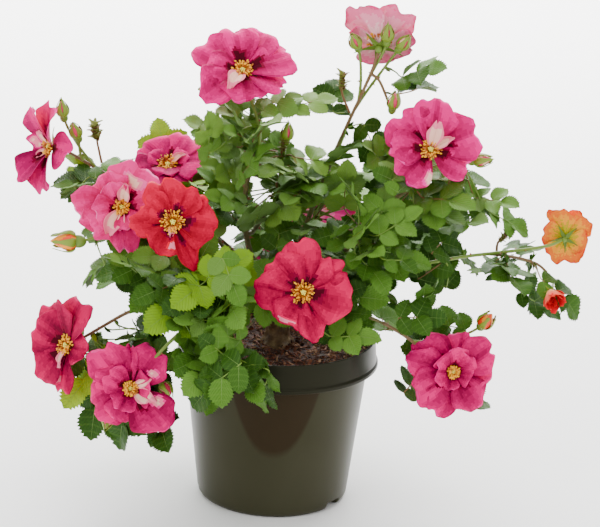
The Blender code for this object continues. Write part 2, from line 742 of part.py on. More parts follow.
def make_pot():
    floor = FLOOR_RECESS + WALL
    ring = wall_radius(0) - FOOT_ROUND * 0.7
    corner = []
    for i in range(4):
        a = math.pi / 2 * i / 3
        corner.append((ring + FOOT_ROUND * 0.8 * math.sin(a), FOOT_ROUND * (1 - math.cos(a))))
    profile = [
        (0, 0), (CENTRE_DISC_RADIUS, 0),
        (CENTRE_DISC_RADIUS + 2 * MM, FLOOR_RECESS),
        (ring - FOOT_RING_WIDTH - 2 * MM, FLOOR_RECESS), (ring - FOOT_RING_WIDTH, 0),
        *corner,
        (POT_NECK_RADIUS, COLLAR_FOOT),
        (POT_LIP_RADIUS - 1 * MM, COLLAR_FOOT),
        (POT_LIP_RADIUS, COLLAR_FOOT + 1 * MM),
        (POT_LIP_RADIUS, COLLAR_FOOT + 3 * MM),
        (POT_LIP_RADIUS - 1.6 * MM, COLLAR_FOOT + 5 * MM),
        (POT_RIM_RADIUS, POT_HEIGHT - 1 * MM),
        (POT_RIM_RADIUS - 0.6 * MM, POT_HEIGHT),
        (POT_RIM_RADIUS - WALL, POT_HEIGHT),
        (POT_RIM_RADIUS - WALL + 0.3 * MM, COLLAR_FOOT + 4 * MM),
        (POT_NECK_RADIUS - WALL, COLLAR_FOOT + WALL),
        (wall_radius(floor) - WALL - 2 * MM, floor),
        (0, floor),
    ]
    pot = turned("pot", profile, POT_SIDES, (0.062, 0.058, 0.040), 0.42)
    cutter_verts, cutter_faces = [], []
    for angle in NOTCH_ANGLES:
        out = heading(angle, 0)
        side = Vector((-out.y, out.x, 0)) * NOTCH_WIDTH / 2
        first = len(cutter_verts)
        for reach in (ring - FOOT_RING_WIDTH - 1 * MM, POT_NECK_RADIUS):
            for hand, height in ((-1, -MM), (1, -MM), (0.82, NOTCH_HEIGHT), (-0.82, NOTCH_HEIGHT)):
                cutter_verts.append(out * reach + side * hand + Vector((0, 0, height)))
        for face in ((0, 1, 2, 3), (7, 6, 5, 4), (0, 4, 5, 1), (1, 5, 6, 2), (2, 6, 7, 3), (3, 7, 4, 0)):
            cutter_faces.append(tuple(first + i for i in face))
    cutter = new_object("notch_cutter", cutter_verts, cutter_faces, (0.5, 0.5, 0.5), 0.5)
    cutter.hide_render = True
    cutter.display_type = "WIRE"
    notches = pot.modifiers.new("notches", "BOOLEAN")
    notches.operation = "DIFFERENCE"
    notches.object = cutter


def make_soil():
    floor = FLOOR_RECESS + WALL + GAP
    skin = WALL + GAP
    profile = [
        (0, floor), (wall_radius(floor) - skin - 2.5 * MM, floor),
        (POT_NECK_RADIUS - skin, COLLAR_FOOT + WALL - 0.2 * MM),
        (POT_NECK_RADIUS - skin, COLLAR_FOOT + WALL + GAP),
        (POT_RIM_RADIUS - skin - MM, COLLAR_FOOT + 4.5 * MM),
        (POT_RIM_RADIUS - skin - 0.5 * MM, SOIL_LEVEL),
        (SOIL_CENTRE_RADIUS, SOIL_LEVEL + SOIL_MOUND), (0, SOIL_LEVEL + SOIL_MOUND),
    ]
    turned("soil", profile, POT_SIDES, (0.10, 0.045, 0.022), 0.95)


def make_crown_stem():
    foot = SOIL_LEVEL + SOIL_MOUND + GAP
    waist = KNOB_CENTRE.z - KNOB_RADIUS * 0.85
    profile = [(0, foot), (STEM_FLARE_RADIUS, foot),
               (STEM_FLARE_RADIUS * 0.78, foot + 4 * MM),
               (STEM_WAIST_RADIUS, waist - 2 * MM)]
    for i in range(1, 5):
        a = math.radians(-50 + 28 * i)
        profile.append((KNOB_RADIUS * math.cos(a), KNOB_CENTRE.z + KNOB_RADIUS * math.sin(a)))
    profile.append((0, KNOB_CENTRE.z + KNOB_RADIUS))
    turned("crown_stem", profile, 16, (0.16, 0.10, 0.06), 0.85)


def make_cane(name):
    cane = CANES[name]
    run = cane_run(name)
    radius = cane.radius * MM
    piece = tube(run, radius, max(radius * 0.66, STEM_RADIUS), CANE_SIDES)
    obj = new_object("cane_" + name, *piece, (0.13, 0.15, 0.06), 0.7)
    obj.data.shade_smooth()
    obj.data.set_sharp_from_angle(angle=math.radians(65))


def make_mass(name, limbs, crowd):
    mass = MASSES[name]
    runs, leaves = growth(name, limbs, crowd)
    pieces = [tube(runs[0], STEM_RADIUS, SHOOT_RADIUS, TWIG_SIDES)]
    pieces += [tube(run, SHOOT_RADIUS, TIP_RADIUS, TWIG_SIDES) for run in runs[1:]]
    pieces += [leaf_solid(*leaf) for leaf in leaves]
    pieces += [bloom_solid(bloom) for bloom in mass.blooms]
    pieces += [bud_solid(bud) for bud in mass.buds]
    fuse("foliage_" + name, pieces, (0.07, 0.16, 0.035), 0.6)


def main():
    for obj in list(bpy.data.objects):
        bpy.data.objects.remove(obj)
    make_pot()
    make_soil()
    make_crown_stem()
    for name in CANES:
        make_cane(name)
    limbs, crowd = all_limbs(), Crowd()
    for name in MASSES:
        make_mass(name, limbs, crowd)


main()
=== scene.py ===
"""The looks of a potted rose bush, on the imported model's frame.

Millimetres in the tables, metres everywhere else. +Z is up, the bush's best side
looks along -Y, and the origin is the centre of the pot's flat underside. The
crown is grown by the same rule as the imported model's: canes, then for each mass
of foliage its stem, shoots, blooms, buds and leaves, and after them the finer
leaves that fill the crown within the same reach.
"""
import json
import math
import random
from collections import namedtuple

import bpy
import numpy as np
from mathutils import Matrix, Vector, kdtree, noise

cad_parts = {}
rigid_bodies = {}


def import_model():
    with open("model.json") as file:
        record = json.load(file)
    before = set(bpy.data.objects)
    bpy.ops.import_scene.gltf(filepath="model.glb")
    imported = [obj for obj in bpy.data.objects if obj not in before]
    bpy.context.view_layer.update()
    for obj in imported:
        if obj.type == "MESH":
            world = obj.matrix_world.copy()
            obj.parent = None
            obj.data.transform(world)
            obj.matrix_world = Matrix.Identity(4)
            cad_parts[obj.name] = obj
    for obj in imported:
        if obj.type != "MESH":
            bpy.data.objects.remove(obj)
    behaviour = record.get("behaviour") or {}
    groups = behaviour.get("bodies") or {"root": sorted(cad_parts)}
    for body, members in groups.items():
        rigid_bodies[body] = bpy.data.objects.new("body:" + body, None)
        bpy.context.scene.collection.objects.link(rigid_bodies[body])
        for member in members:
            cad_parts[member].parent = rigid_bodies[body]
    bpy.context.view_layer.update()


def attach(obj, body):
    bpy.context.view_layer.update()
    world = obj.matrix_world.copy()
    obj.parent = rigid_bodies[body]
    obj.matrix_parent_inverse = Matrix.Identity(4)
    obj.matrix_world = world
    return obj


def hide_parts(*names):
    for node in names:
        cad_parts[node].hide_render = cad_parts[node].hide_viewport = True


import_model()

MM = 0.001
GAP = 0.3 * MM                      # clearance between touching pieces

# --- Pot ---------------------------------------------------------------------
POT_HEIGHT = 157.5 * MM
POT_RIM_RADIUS = 91.8 * MM          # outside, at the top of the collar
POT_LIP_RADIUS = 95.0 * MM          # outside, at the collar's lower edge
POT_NECK_RADIUS = 85.6 * MM         # outside, where the body meets the collar
POT_BASE_RADIUS = 70.5 * MM         # outside, body wall run down to the floor
COLLAR_FOOT = 131.0 * MM            # height of the collar's lower edge
WALL = 1.8 * MM
FOOT_ROUND = 7.0 * MM               # rounded corner between wall and foot
FLOOR_RECESS = 3.0 * MM             # underside between centre disc and foot ring
CENTRE_DISC_RADIUS = 22.0 * MM
FOOT_RING_WIDTH = 5.0 * MM
NOTCH_ANGLES = (55.0, 128.0, 202.0, 275.0)   # drain notches, degrees right of front
NOTCH_WIDTH = 20.0 * MM
NOTCH_HEIGHT = 7.5 * MM

# --- Compost and the short woody stem -----------------------------------------
SOIL_LEVEL = 147.5 * MM             # against the pot wall
SOIL_MOUND = 1.5 * MM               # rise towards the stem
KNOB_RADIUS = 15.0 * MM             # swollen crown that the canes spring from
KNOB_CENTRE = Vector((0.0, 0.0, 180.0)) * MM
KNOB_FLATTEN = 0.6                  # canes spring more from its flanks than from its top

# --- Canes, shoots and leaves ---------------------------------------------------
CANE_STEPS = 7
CANE_COLLAR = 2.5 * MM              # straight length where a cane or a mass's stem starts
STEM_RADIUS = 1.7 * MM              # a mass's own stem where it starts
SHOOT_STEPS = 4                     # steps in a shoot's or a stalk's line
BLOOM_FOOT = 0.32                   # where a stalk meets a bloom, by the bloom's radius
BUD_FOOT = 0.45                     # where a stalk meets a bud, by the bud's length
STEM_NODES = (0.1, 0.25, 0.4, 0.55, 0.7)     # shares of a stem where leaves spring
FORKS = (0.42, 0.62, 0.30, 0.72)    # shares of the stem where its shoots leave it
LEAF_CHOICE = 3                     # places tried for each leaf that a mass carries
CROWN_MIDDLE = Vector((0.0, 10.0, 170.0)) * MM
LEAF_LENGTH = 70.0 * MM             # petiole, rachis and end leaflet together
LEAFLET_LENGTH = 26.5 * MM
LEAFLET_WIDTH = 20.0 * MM
LEAFLET_THICKNESS = 0.8 * MM
PAIR_PLACES = (0.19, 0.465)         # leaflet pairs along the rachis
END_PLACE = 0.605                   # where the end leaflet starts
PAIR_SPREAD = math.radians(60.0)
GOLDEN_ANGLE = math.radians(137.5)
LEAF_SAG = 0.10                     # how far a leaf's tip hangs, by its length
LEAF_OUT = 0.4                      # how much a leaf points away from the crown's middle
FACE_OUT = 0.45                     # how much its blades face away from there
LEAF_MIDDLE = 0.55                  # share of a leaf's length that lies behind its middle
LEAF_SHIFT = 40.0 * MM              # how far a leaf may end up from its target
SPACE = 1.2                         # a mass's space, as a multiple of its reach
LEAFLET_ROOM = 3.0 * MM             # least distance between two leaves
FINER_ROOM = 2.4 * MM               # and between two of the finer ones
LIGHT = Vector((0.0, -0.50, 0.54))  # pull on the leaf blades
CELL_MARGIN = 0.6 * MM              # between neighbouring masses
LIMB_MARGIN = 3.0 * MM              # between leaves and limbs
POT_MARGIN = 4.0 * MM               # between leaves and the pot
LOWEST_LEAF = 10.0 * MM
BLOOM_DEPTHS = (-0.38, 1.2)         # kept free behind and before a bloom, by its radius
BLOOM_SPREAD = 0.92

Bloom = namedtuple("Bloom", "at facing radius")      # facing: azimuth, elevation
Bud = namedtuple("Bud", "at facing radius length", defaults=(5.5, 19.0))
Cane = namedtuple("Cane", "parent fork via entry radius")
Mass = namedtuple("Mass", "centre reach leaves blooms buds sprays")
Opening = namedtuple("Opening", "x z wide tall")

# Places are millimetres. Azimuths are degrees to the right of the front (-Y).
# A cane forks from its parent at a share of the parent's length, passes `via`
# and ends at `entry`. Canes with no parent spring from the knob. `sprays` are
# leaves with a place of their own, and `leaves` is how many others a mass has.
CANES = {
    "top_left": Cane(None, 0, (-34, 6, 262), (-24, 2, 335), 3.2),
    "top_right": Cane(None, 0, (22, 16, 256), (52, 20, 342), 3.2),
    "right_high": Cane(None, 0, (54, -2, 246), (112, -12, 302), 3.0),
    "far_right": Cane(None, 0, (64, -30, 216), (136, -20, 237), 3.0),
    "left": Cane(None, 0, (-34, -24, 218), (-82, -30, 236), 3.0),
    "low_left": Cane(None, 0, (-58, -6, 194), (-122, -22, 186), 3.0),
    "back_left": Cane(None, 0, (-40, 40, 218), (-80, 70, 240), 2.9),
    "back": Cane(None, 0, (10, 55, 206), (22, 105, 222), 2.9),
    "front": Cane(None, 0, (6, -32, 188), (12, -52, 196), 2.6),
    "low_front_left": Cane("low_left", 0.40, (-66, -44, 190), (-84, -66, 180), 2.2),
    "front_low": Cane(None, 0, (-22, -44, 184), (-34, -82, 178), 2.3),
    "low_right": Cane("far_right", 0.28, (62, -34, 196), (96, -40, 184), 2.3),
    "far_left": Cane("left", 0.52, (-78, 6, 262), (-142, 22, 288), 2.2),
    "young_left": Cane("left", 0.30, (-34, -40, 208), (-44, -60, 212), 2.0),
    "inner": Cane("top_left", 0.42, (-18, 18, 262), (-6, 24, 280), 2.0),
    "inner_right": Cane("right_high", 0.50, (60, -26, 248), (66, -34, 262), 2.0),
    "back_right": Cane("back", 0.45, (52, 78, 202), (84, 92, 204), 2.2),
    "low_back_left": Cane("back_left", 0.40, (-64, 72, 206), (-90, 100, 196), 2.1),
    "low_back": Cane("back", 0.62, (14, 110, 200), (8, 128, 186), 2.0),
}

MASSES = {
    "top_left": Mass((-30, 2, 354), (80, 58, 54), 3,
                     [Bloom((-40, 0, 411), (5, 48), 46)], [],
                     [(-57, -6, 345), (10, 8, 378), (-28, 16, 326)]),
    "top_right": Mass((80, 20, 384), (80, 54, 70), 1,
                      [Bloom((82, 32, 434), (180, 38), 38)],
                      [Bud((60, 16, 432), (-35, 50)), Bud((89, 16, 440), (5, 70)),
                       Bud((104, 18, 432), (45, 50)), Bud((97, 0, 382), (20, 70))],
                      [(44, 14, 378), (129, 20, 409), (84, 10, 348)]),
    "right_high": Mass((142, -8, 306), (88, 60, 62), 2,
                      [Bloom((133, -34, 355), (2, 30), 46)],
                      [Bud((178, -18, 335), (85, 10))],
                      [(98, 6, 334), (176, -10, 292), (104, -10, 296), (136, -20, 286),
                       (170, 0, 310)]),
    "far_left": Mass((-178, 26, 300), (56, 52, 48), 2,
                     [Bloom((-224, 18, 323), (-62, 8), 43)],
                     [Bud((-204, 20, 358), (-20, 70)), Bud((-192, 20, 338), (-30, 60))],
                     [(-186, 30, 288), (-156, 24, 300)]),
    "left": Mass((-128, -32, 236), (80, 66, 62), 5,
                 [Bloom((-150, -34, 283), (-10, 12), 43),
                  Bloom((-96, -74, 283), (4, 18), 42)],
                 [Bud((-196, -28, 247), (-85, 0), 8.5, 27.0)],
                 [(-166, -20, 222), (-128, -10, 204)]),
    "front": Mass((34, -52, 200), (80, 62, 58), 4,
                  [Bloom((22, -86, 226), (3, 20), 47)], [],
                  [(78, -54, 224), (62, -46, 176)]),
    "low_left": Mass((-164, -4, 146), (64, 58, 64), 2,
                     [Bloom((-201, -40, 156), (-48, 18), 44)], [],
                     [(-160, 4, 112), (-108, -20, 160)]),
    "low_front_left": Mass((-122, -46, 112), (74, 56, 58), 2,
                           [Bloom((-131, -80, 125), (0, 10), 44)],
                           [Bud((-99, -66, 122), (30, -20)),
                            Bud((-152, -62, 88), (-10, -35))],
                           [(-138, -50, 90), (-80, -82, 106), (-164, -24, 106)]),
    "front_low": Mass((-38, -108, 168), (54, 46, 46), 4, [], [],
                      [(-34, -112, 168), (-58, -104, 172)]),
    "low_right": Mass((146, -34, 156), (78, 62, 66), 2,
                      [Bloom((159, -46, 144), (10, 18), 44)],
                      [Bud((192, -20, 184), (40, 50), 6.5, 21.0)],
                      [(134, -20, 189), (110, -40, 108), (144, -30, 102)]),
    "far_right": Mass((200, -4, 232), (84, 54, 66), 2,
                      [Bloom((262, 0, 263), (165, 10), 26)],
                      [Bud((253, -2, 216), (50, -50), 11.0, 27.0)],
                      [(154, -14, 256), (194, -8, 234), (236, 16, 206), (218, 4, 250)]),
    "young_left": Mass((-54, -70, 212), (66, 60, 56), 6, [], [],
                       [(-70, -84, 216), (-34, -84, 196)]),
    "inner": Mass((-6, 14, 298), (68, 62, 60), 6, [], [Bud((2, 12, 346), (20, 75))],
                  [(-62, 30, 300), (16, 30, 306)]),
    "inner_right": Mass((76, -24, 264), (64, 60, 60), 7, [], [], []),
    "back_left": Mass((-104, 84, 272), (76, 68, 62), 6,
                      [Bloom((-111, 80, 299), (-8, 55), 38)], [], []),
    "back": Mass((26, 138, 236), (84, 70, 60), 6,
                 [Bloom((36, 176, 236), (172, 28), 45)], [], []),
    "back_right": Mass((112, 98, 204), (72, 72, 64), 6,
                       [Bloom((130, 140, 206), (140, 20), 43)], [], []),
    "low_back_left": Mass((-112, 126, 185), (80, 70, 62), 6,
                          [Bloom((-124, 160, 196), (205, 20), 44)], [], []),
    "low_back": Mass((2, 150, 160), (74, 62, 58), 6,
                     [Bloom((-14, 186, 156), (184, 6), 42)], [], []),
}

# Places where one sees through the crown from the viewpoint: middle across and up, half
# width and half height, where the line of sight passes the bush's middle plane.
VIEWPOINT = Vector((0.0, -1900.0, 814.0)) * MM
OPENINGS = [
    Opening(20, 352, 26, 12), Opening(16, 427, 32, 31), Opening(208, 352, 30, 46),
    Opening(186, 258, 22, 9), Opening(197, 203, 24, 15), Opening(-168, 176, 32, 20),
    Opening(-213, 213, 22, 11), Opening(-153, 334, 14, 12), Opening(104, 142, 9, 18),
    Opening(-23, 292, 7, 13), Opening(32, 276, 16, 5), Opening(118, 206, 11, 9),
    Opening(170, 197, 11, 11), Opening(262, 264, 24, 27),
    Opening(59, 276, 6, 6), Opening(-50, 247, 6, 5), Opening(76, 380, 18, 9),
    Opening(2, 146, 34, 11), Opening(211, 150, 16, 22), Opening(-80, 376, 14, 12),
    Opening(234, 298, 18, 18),
]


# --- Growth rule ------------------------------------------------------------------

def place(point):
    return Vector(point) * MM


def heading(azimuth, elevation):
    """Unit vector of a compass direction, measured from the front to the right."""
    a, e = math.radians(azimuth), math.radians(elevation)
    return Vector((math.sin(a) * math.cos(e), -math.cos(a) * math.cos(e), math.sin(e)))


def bent(start, via, end, steps):
    """Points of a parabola from start to end that passes via at half way."""
    control = 2 * via - (start + end) / 2
    points = []
    for i in range(steps + 1):
        t = i / steps
        points.append((1 - t) ** 2 * start + 2 * t * (1 - t) * control + t * t * end)
    return points


def grown(start, heading_out, end, heading_in, steps):
    """Points of a smooth shoot from start to end with the two given headings."""
    reach = (end - start).length
    a, b = heading_out * reach * 0.9, heading_in * reach * 0.6
    points = []
    for i in range(steps + 1):
        t = i / steps
        h1, h2 = 2 * t**3 - 3 * t**2 + 1, t**3 - 2 * t**2 + t
        h3, h4 = -2 * t**3 + 3 * t**2, t**3 - t**2
        points.append(h1 * start + h2 * a + h3 * end + h4 * b)
    return points


def along(points, share):
    """Place and heading at a share of the length of a run of points."""
    lengths = [(q - p).length for p, q in zip(points, points[1:])]
    left = max(0.0, min(1.0, share)) * sum(lengths)
    for p, q, length in zip(points, points[1:], lengths):
        if left <= length:
            break
        left -= length
    return p.lerp(q, min(1.0, left / length)), (q - p).normalized()


def cane_run(name, steps=CANE_STEPS):
    """Centre line of a cane, from its parent's skin to the mass that it carries."""
    cane = CANES[name]
    via, entry = place(cane.via), place(cane.entry)
    if cane.parent is None:
        out = via - KNOB_CENTRE
        out.z *= KNOB_FLATTEN
        out.normalize()
        start = KNOB_CENTRE + out * (KNOB_RADIUS + GAP)
    else:
        parent = CANES[cane.parent]
        spot, ahead = along(cane_run(cane.parent), cane.fork)
        out = via - spot
        out = (out - ahead * out.dot(ahead)).normalized()
        start = spot + out * (parent.radius * MM + GAP)
    return [start] + bent(start + out * CANE_COLLAR, via, entry, steps - 1)


def cell_site(mass):
    """Middle of a mass's cell: half way from its leaves to its blooms."""
    if not mass.blooms:
        return np.array(mass.centre) * MM
    flowers = np.mean([bloom.at for bloom in mass.blooms], axis=0)
    return (np.array(mass.centre) + flowers) / 2 * MM


SITES = {name: cell_site(mass) for name, mass in MASSES.items()}
SIZES = {name: (np.mean(mass.reach) * MM) ** 2 for name, mass in MASSES.items()}
ALL_BLOOMS = [bloom for mass in MASSES.values() for bloom in mass.blooms]


def inside_cell(name, points):
    """True if all points are nearer this mass than any other, each by its size."""
    mine = ((points - SITES[name]) ** 2).sum(1) - SIZES[name]
    for other in MASSES:
        if other == name:
            continue
        apart = np.linalg.norm(SITES[other] - SITES[name])
        theirs = ((points - SITES[other]) ** 2).sum(1) - SIZES[other]
        if ((theirs - mine) / (2 * apart)).min() < CELL_MARGIN:
            return False
    return True


def inside_reach(name, points):
    """True if all points are within a mass's space."""
    mass = MASSES[name]
    scaled = (points - np.array(mass.centre) * MM) / (np.array(mass.reach) * SPACE * MM)
    return (scaled ** 2).sum(1).max() <= 1.0


def clear_of_limbs(points, limbs):
    """True if no point comes near any of the limbs' (name, places, radius)."""
    for _, places, radius in limbs:
        apart = np.linalg.norm(points[:, None, :] - places[None, :, :], axis=2)
        if apart.min() < radius + LIMB_MARGIN:
            return False
    return True


def clear_of_pot(points):
    """True outside the pot and above its compost."""
    out = np.hypot(points[:, 0], points[:, 1]) > POT_LIP_RADIUS + POT_MARGIN
    above = points[:, 2] > POT_HEIGHT + POT_MARGIN
    return bool((out | above).all()) and points[:, 2].min() > LOWEST_LEAF


def clear_of_blooms(points):
    """True if nothing pierces a bloom or stands in front of its face."""
    for bloom in ALL_BLOOMS:
        face = np.array(heading(*bloom.facing))
        radius = bloom.radius * MM
        off = points - np.array(bloom.at) * MM
        height = off @ face
        sideways = np.linalg.norm(off - np.outer(height, face), axis=1)
        near = (height > BLOOM_DEPTHS[0] * radius) & (height < BLOOM_DEPTHS[1] * radius)
        if (near & (sideways < BLOOM_SPREAD * radius)).any():
            return False
    return True


def clear_of_openings(points):
    """True if no point stands in the way of one of the crown's openings."""
    nearness = VIEWPOINT.y / (VIEWPOINT.y - points[:, 1])
    across = points[:, 0] * nearness / MM
    up = (VIEWPOINT.z + (points[:, 2] - VIEWPOINT.z) * nearness) / MM
    for x, z, wide, tall in OPENINGS:
        if (((across - x) / wide) ** 2 + ((up - z) / tall) ** 2 < 1).any():
            return False
    return True


def free(name, points, limbs):
    """True if leaves at these points keep to their mass's reach and clear of the rest."""
    return (inside_reach(name, points) and clear_of_pot(points) and clear_of_blooms(points)
            and clear_of_openings(points) and clear_of_limbs(points, limbs))


def leaf_parts(root, axis, face, scale):
    """Spine points of one compound leaf, and (foot, axis, length) of its leaflets.

    The spine runs first pair, second pair, end leaflet's foot. Leaflets run
    left and right of each pair, then the end one.
    """
    side = axis.cross(face).normalized()
    length = LEAF_LENGTH * scale
    sag = Vector((0, 0, -LEAF_SAG * length))

    def spine(share):
        return root + axis * length * share + sag * share * share

    leaflets = []
    for share, size in zip(PAIR_PLACES, (0.86, 1.0)):
        for hand in (-1, 1):
            out = axis * math.cos(PAIR_SPREAD) + side * hand * math.sin(PAIR_SPREAD)
            leaflets.append((spine(share), out, LEAFLET_LENGTH * scale * size))
    end = spine(1.0) - spine(END_PLACE)
    leaflets.append((spine(END_PLACE), end.normalized(), end.length))
    return [spine(share) for share in (*PAIR_PLACES, END_PLACE)], leaflets


def leaflet_corners(foot, axis, face, length):
    """Tip, left and right corners and the high point of one leaflet."""
    side = axis.cross(face).normalized()
    up = side.cross(axis).normalized()
    middle = foot + axis * length * 0.47
    half = side * length * LEAFLET_WIDTH / LEAFLET_LENGTH / 2
    return foot + axis * length, middle - half, middle + half, middle + up * LEAFLET_THICKNESS


def leaf_samples(parts, face):
    """Points all over a compound leaf, to test it by."""
    spine, leaflets = parts
    points = list(spine)
    for foot, axis, length in leaflets:
        tip, left, right = leaflet_corners(foot, axis, face, length)[:3]
        points += [tip, left, right, (left + right) / 2]
        points += [(left + tip) / 2, (right + tip) / 2, (foot + left) / 2, (foot + right) / 2]
    return points


class Crowd:
    """Points of the leaves that are already placed."""

    def __init__(self):
        self.points = []
        self.tree = kdtree.KDTree(0)
        self.tree.balance()

    def add(self, points):
        self.points += points
        self.tree = kdtree.KDTree(len(self.points))
        for i, point in enumerate(self.points):
            self.tree.insert(point, i)
        self.tree.balance()

    def leaves_room(self, points, room):
        """True if all of these points are further than `room` from every leaf."""
        if not self.points:
            return True
        return all(self.tree.find(point)[2] > room for point in points)


# One growth of leaves. mark: what its seeds add to the mass's name; top and fall: where its
# spread starts and how far it comes down, by the mass's reach; depths: shares of the reach,
# taken in turn; tries: at each leaf; room: from one leaf to the next; stray and wander: how
# far a leaf's axis strays on the first try, and how much further on the last; sizes and
# shrink: beside LEAF_LENGTH, and how much smaller on the last try; roll: how far the stray
# turns its blades; strict: leaves keep to their mass's own cell, and stalks clear of leaves
# and of other masses' limbs.
Growth = namedtuple("Growth", "mark top fall depths tries room stray wander sizes shrink "
                              "roll strict")
FIRST_GROWTH = Growth("", 0.8, 1.5, (0.74, 0.46), 40, LEAFLET_ROOM,
                      0.3, 1.5, (0.92, 1.08), 0.3, 0.15, True)
FINER_GROWTH = Growth(" fill", 0.9, 1.75, (0.35, 0.66, 0.86, 0.52), 24, FINER_ROOM,
                      0.45, 1.4, (0.74, 1.04), 0.0, 0.3, False)


def leaf_targets(rule, name, sprays, leaves):
    """Middles of a mass's leaves: the sprays, then an even spread over its reach."""
    mass = MASSES[name]
    targets = [place(spray) for spray in sprays]
    phase = random.Random(name + rule.mark).uniform(0, 2 * math.pi)
    count = leaves * LEAF_CHOICE
    for i in range(count):
        rise = rule.top - rule.fall * (i * LEAF_CHOICE % count + 0.5) / count
        angle = phase + i * GOLDEN_ANGLE
        flat = math.sqrt(1 - rise * rise)
        way = Vector((flat * math.cos(angle), flat * math.sin(angle), rise))
        way = way * rule.depths[i % len(rule.depths)]
        targets.append(place(mass.centre) + Vector([w * r * MM for w, r in zip(way, mass.reach)]))
    return targets


def nearest_on(runs, point):
    """Place and heading on the shoots where a leaf at this point would spring from."""
    best = None
    for run in runs:
        for share in STEM_NODES:
            foot, ahead = along(run, share)
            # A leaf rises from its node, so a node below it counts as nearer.
            apart = (point - foot).length + 0.5 * max(0.0, foot.z - point.z)
            if best is None or apart < best[0]:
                best = (apart, foot, ahead)
    return best[1:]


def stems(name):
    """The mass's own stem from its cane to its first bloom, and shoots to the others."""
    mass = MASSES[name]
    cane = cane_run(name)
    ahead = (cane[-1] - cane[-2]).normalized()
    ends = [(place(b.at) - heading(*b.facing) * b.radius * MM * BLOOM_FOOT, heading(*b.facing))
            for b in mass.blooms]
    ends += [(place(b.at) - heading(*b.facing) * b.length * MM * BUD_FOOT, heading(*b.facing))
             for b in mass.buds]
    if not mass.blooms:
        ends.insert(0, (place(mass.centre), (ahead + Vector((0, 0, 1))).normalized()))
    start = cane[-1] + ahead * GAP
    runs = [[start] + grown(start + ahead * CANE_COLLAR, ahead, *ends[0], SHOOT_STEPS)]
    for i, (tip, facing) in enumerate(ends[1:]):
        foot, foot_ahead = along(runs[0], FORKS[i % len(FORKS)])
        out = (foot_ahead + (tip - foot).normalized()).normalized()
        runs.append(grown(foot, out, tip, facing, SHOOT_STEPS))
    return runs


def all_limbs():
    """(mass or None, places, radius) of every cane and every mass's stems."""
    limbs = []
    for name, cane in CANES.items():
        limbs.append((None, cane_run(name, 48), cane.radius * MM))
    for name, mass in MASSES.items():
        for run in stems(name):
            spots = [along(run, i / 30)[0] for i in range(31)]
            limbs.append((name, spots, STEM_RADIUS))
        for bud in mass.buds:
            body = heading(*bud.facing) * bud.length * MM
            spots = [place(bud.at) + body * share for share in (-0.4, -0.2, 0.0, 0.2, 0.4)]
            limbs.append((name, spots, bud.radius * MM))
    return [(name, np.array(places), radius) for name, places, radius in limbs]


def any_way(draw):
    return Vector([draw.uniform(-1, 1) for _ in range(3)])


def fitted_leaf(rule, name, runs, target, index, limbs, crowd):
    """Stalk, parts and face of one leaf about a target, or None where none fits."""
    draw = random.Random(f"{name}{rule.mark} {index}")
    others = [limb for limb in limbs if limb[0] != name]
    for attempt in range(rule.tries):
        loose = attempt / rule.tries
        stray = any_way(draw) * (rule.stray + rule.wander * loose)
        middle = target + any_way(draw) * LEAF_SHIFT * loose
        foot, ahead = nearest_on(runs, middle)
        away = (middle - foot).normalized()
        outward = (middle - CROWN_MIDDLE).normalized()
        scale = draw.uniform(*rule.sizes) * (1.0 - rule.shrink * loose)
        axis = (away + outward * LEAF_OUT + stray).normalized()
        face = LIGHT + outward * FACE_OUT + stray * rule.roll
        face = (face - axis * face.dot(axis)).normalized()
        parts = leaf_parts(middle - axis * LEAF_LENGTH * scale * LEAF_MIDDLE, axis, face, scale)
        blades = leaf_samples(parts, face)
        spots = np.array(blades)
        if not (crowd.leaves_room(blades, rule.room) and free(name, spots, limbs)):
            continue
        stalk = grown(foot, (ahead + away).normalized(), parts[0][0], axis, SHOOT_STEPS)
        stem = np.array(stalk[1:])
        if not (clear_of_pot(stem) and clear_of_blooms(stem)):
            continue
        if not rule.strict:
            crowd.add(blades)
            return stalk[:4], parts, face
        if (inside_cell(name, spots) and crowd.leaves_room(stalk[1:], rule.room)
                and clear_of_limbs(stem, others)):
            crowd.add(blades + stalk[2:])
            return stalk[:4:2], parts, face
    return None


def add_leaves(rule, name, runs, leaves, targets, wanted, limbs, crowd):
    """Add leaves to a mass at those of the targets where one fits, up to `wanted` more."""
    wanted += len(leaves)
    for index, target in enumerate(targets):
        leaf = (len(leaves) < wanted
                and fitted_leaf(rule, name, runs, target, index, limbs, crowd))
        if leaf:
            leaves.append(leaf)


# --- Finer growth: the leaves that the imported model's larger ones stand for ----------

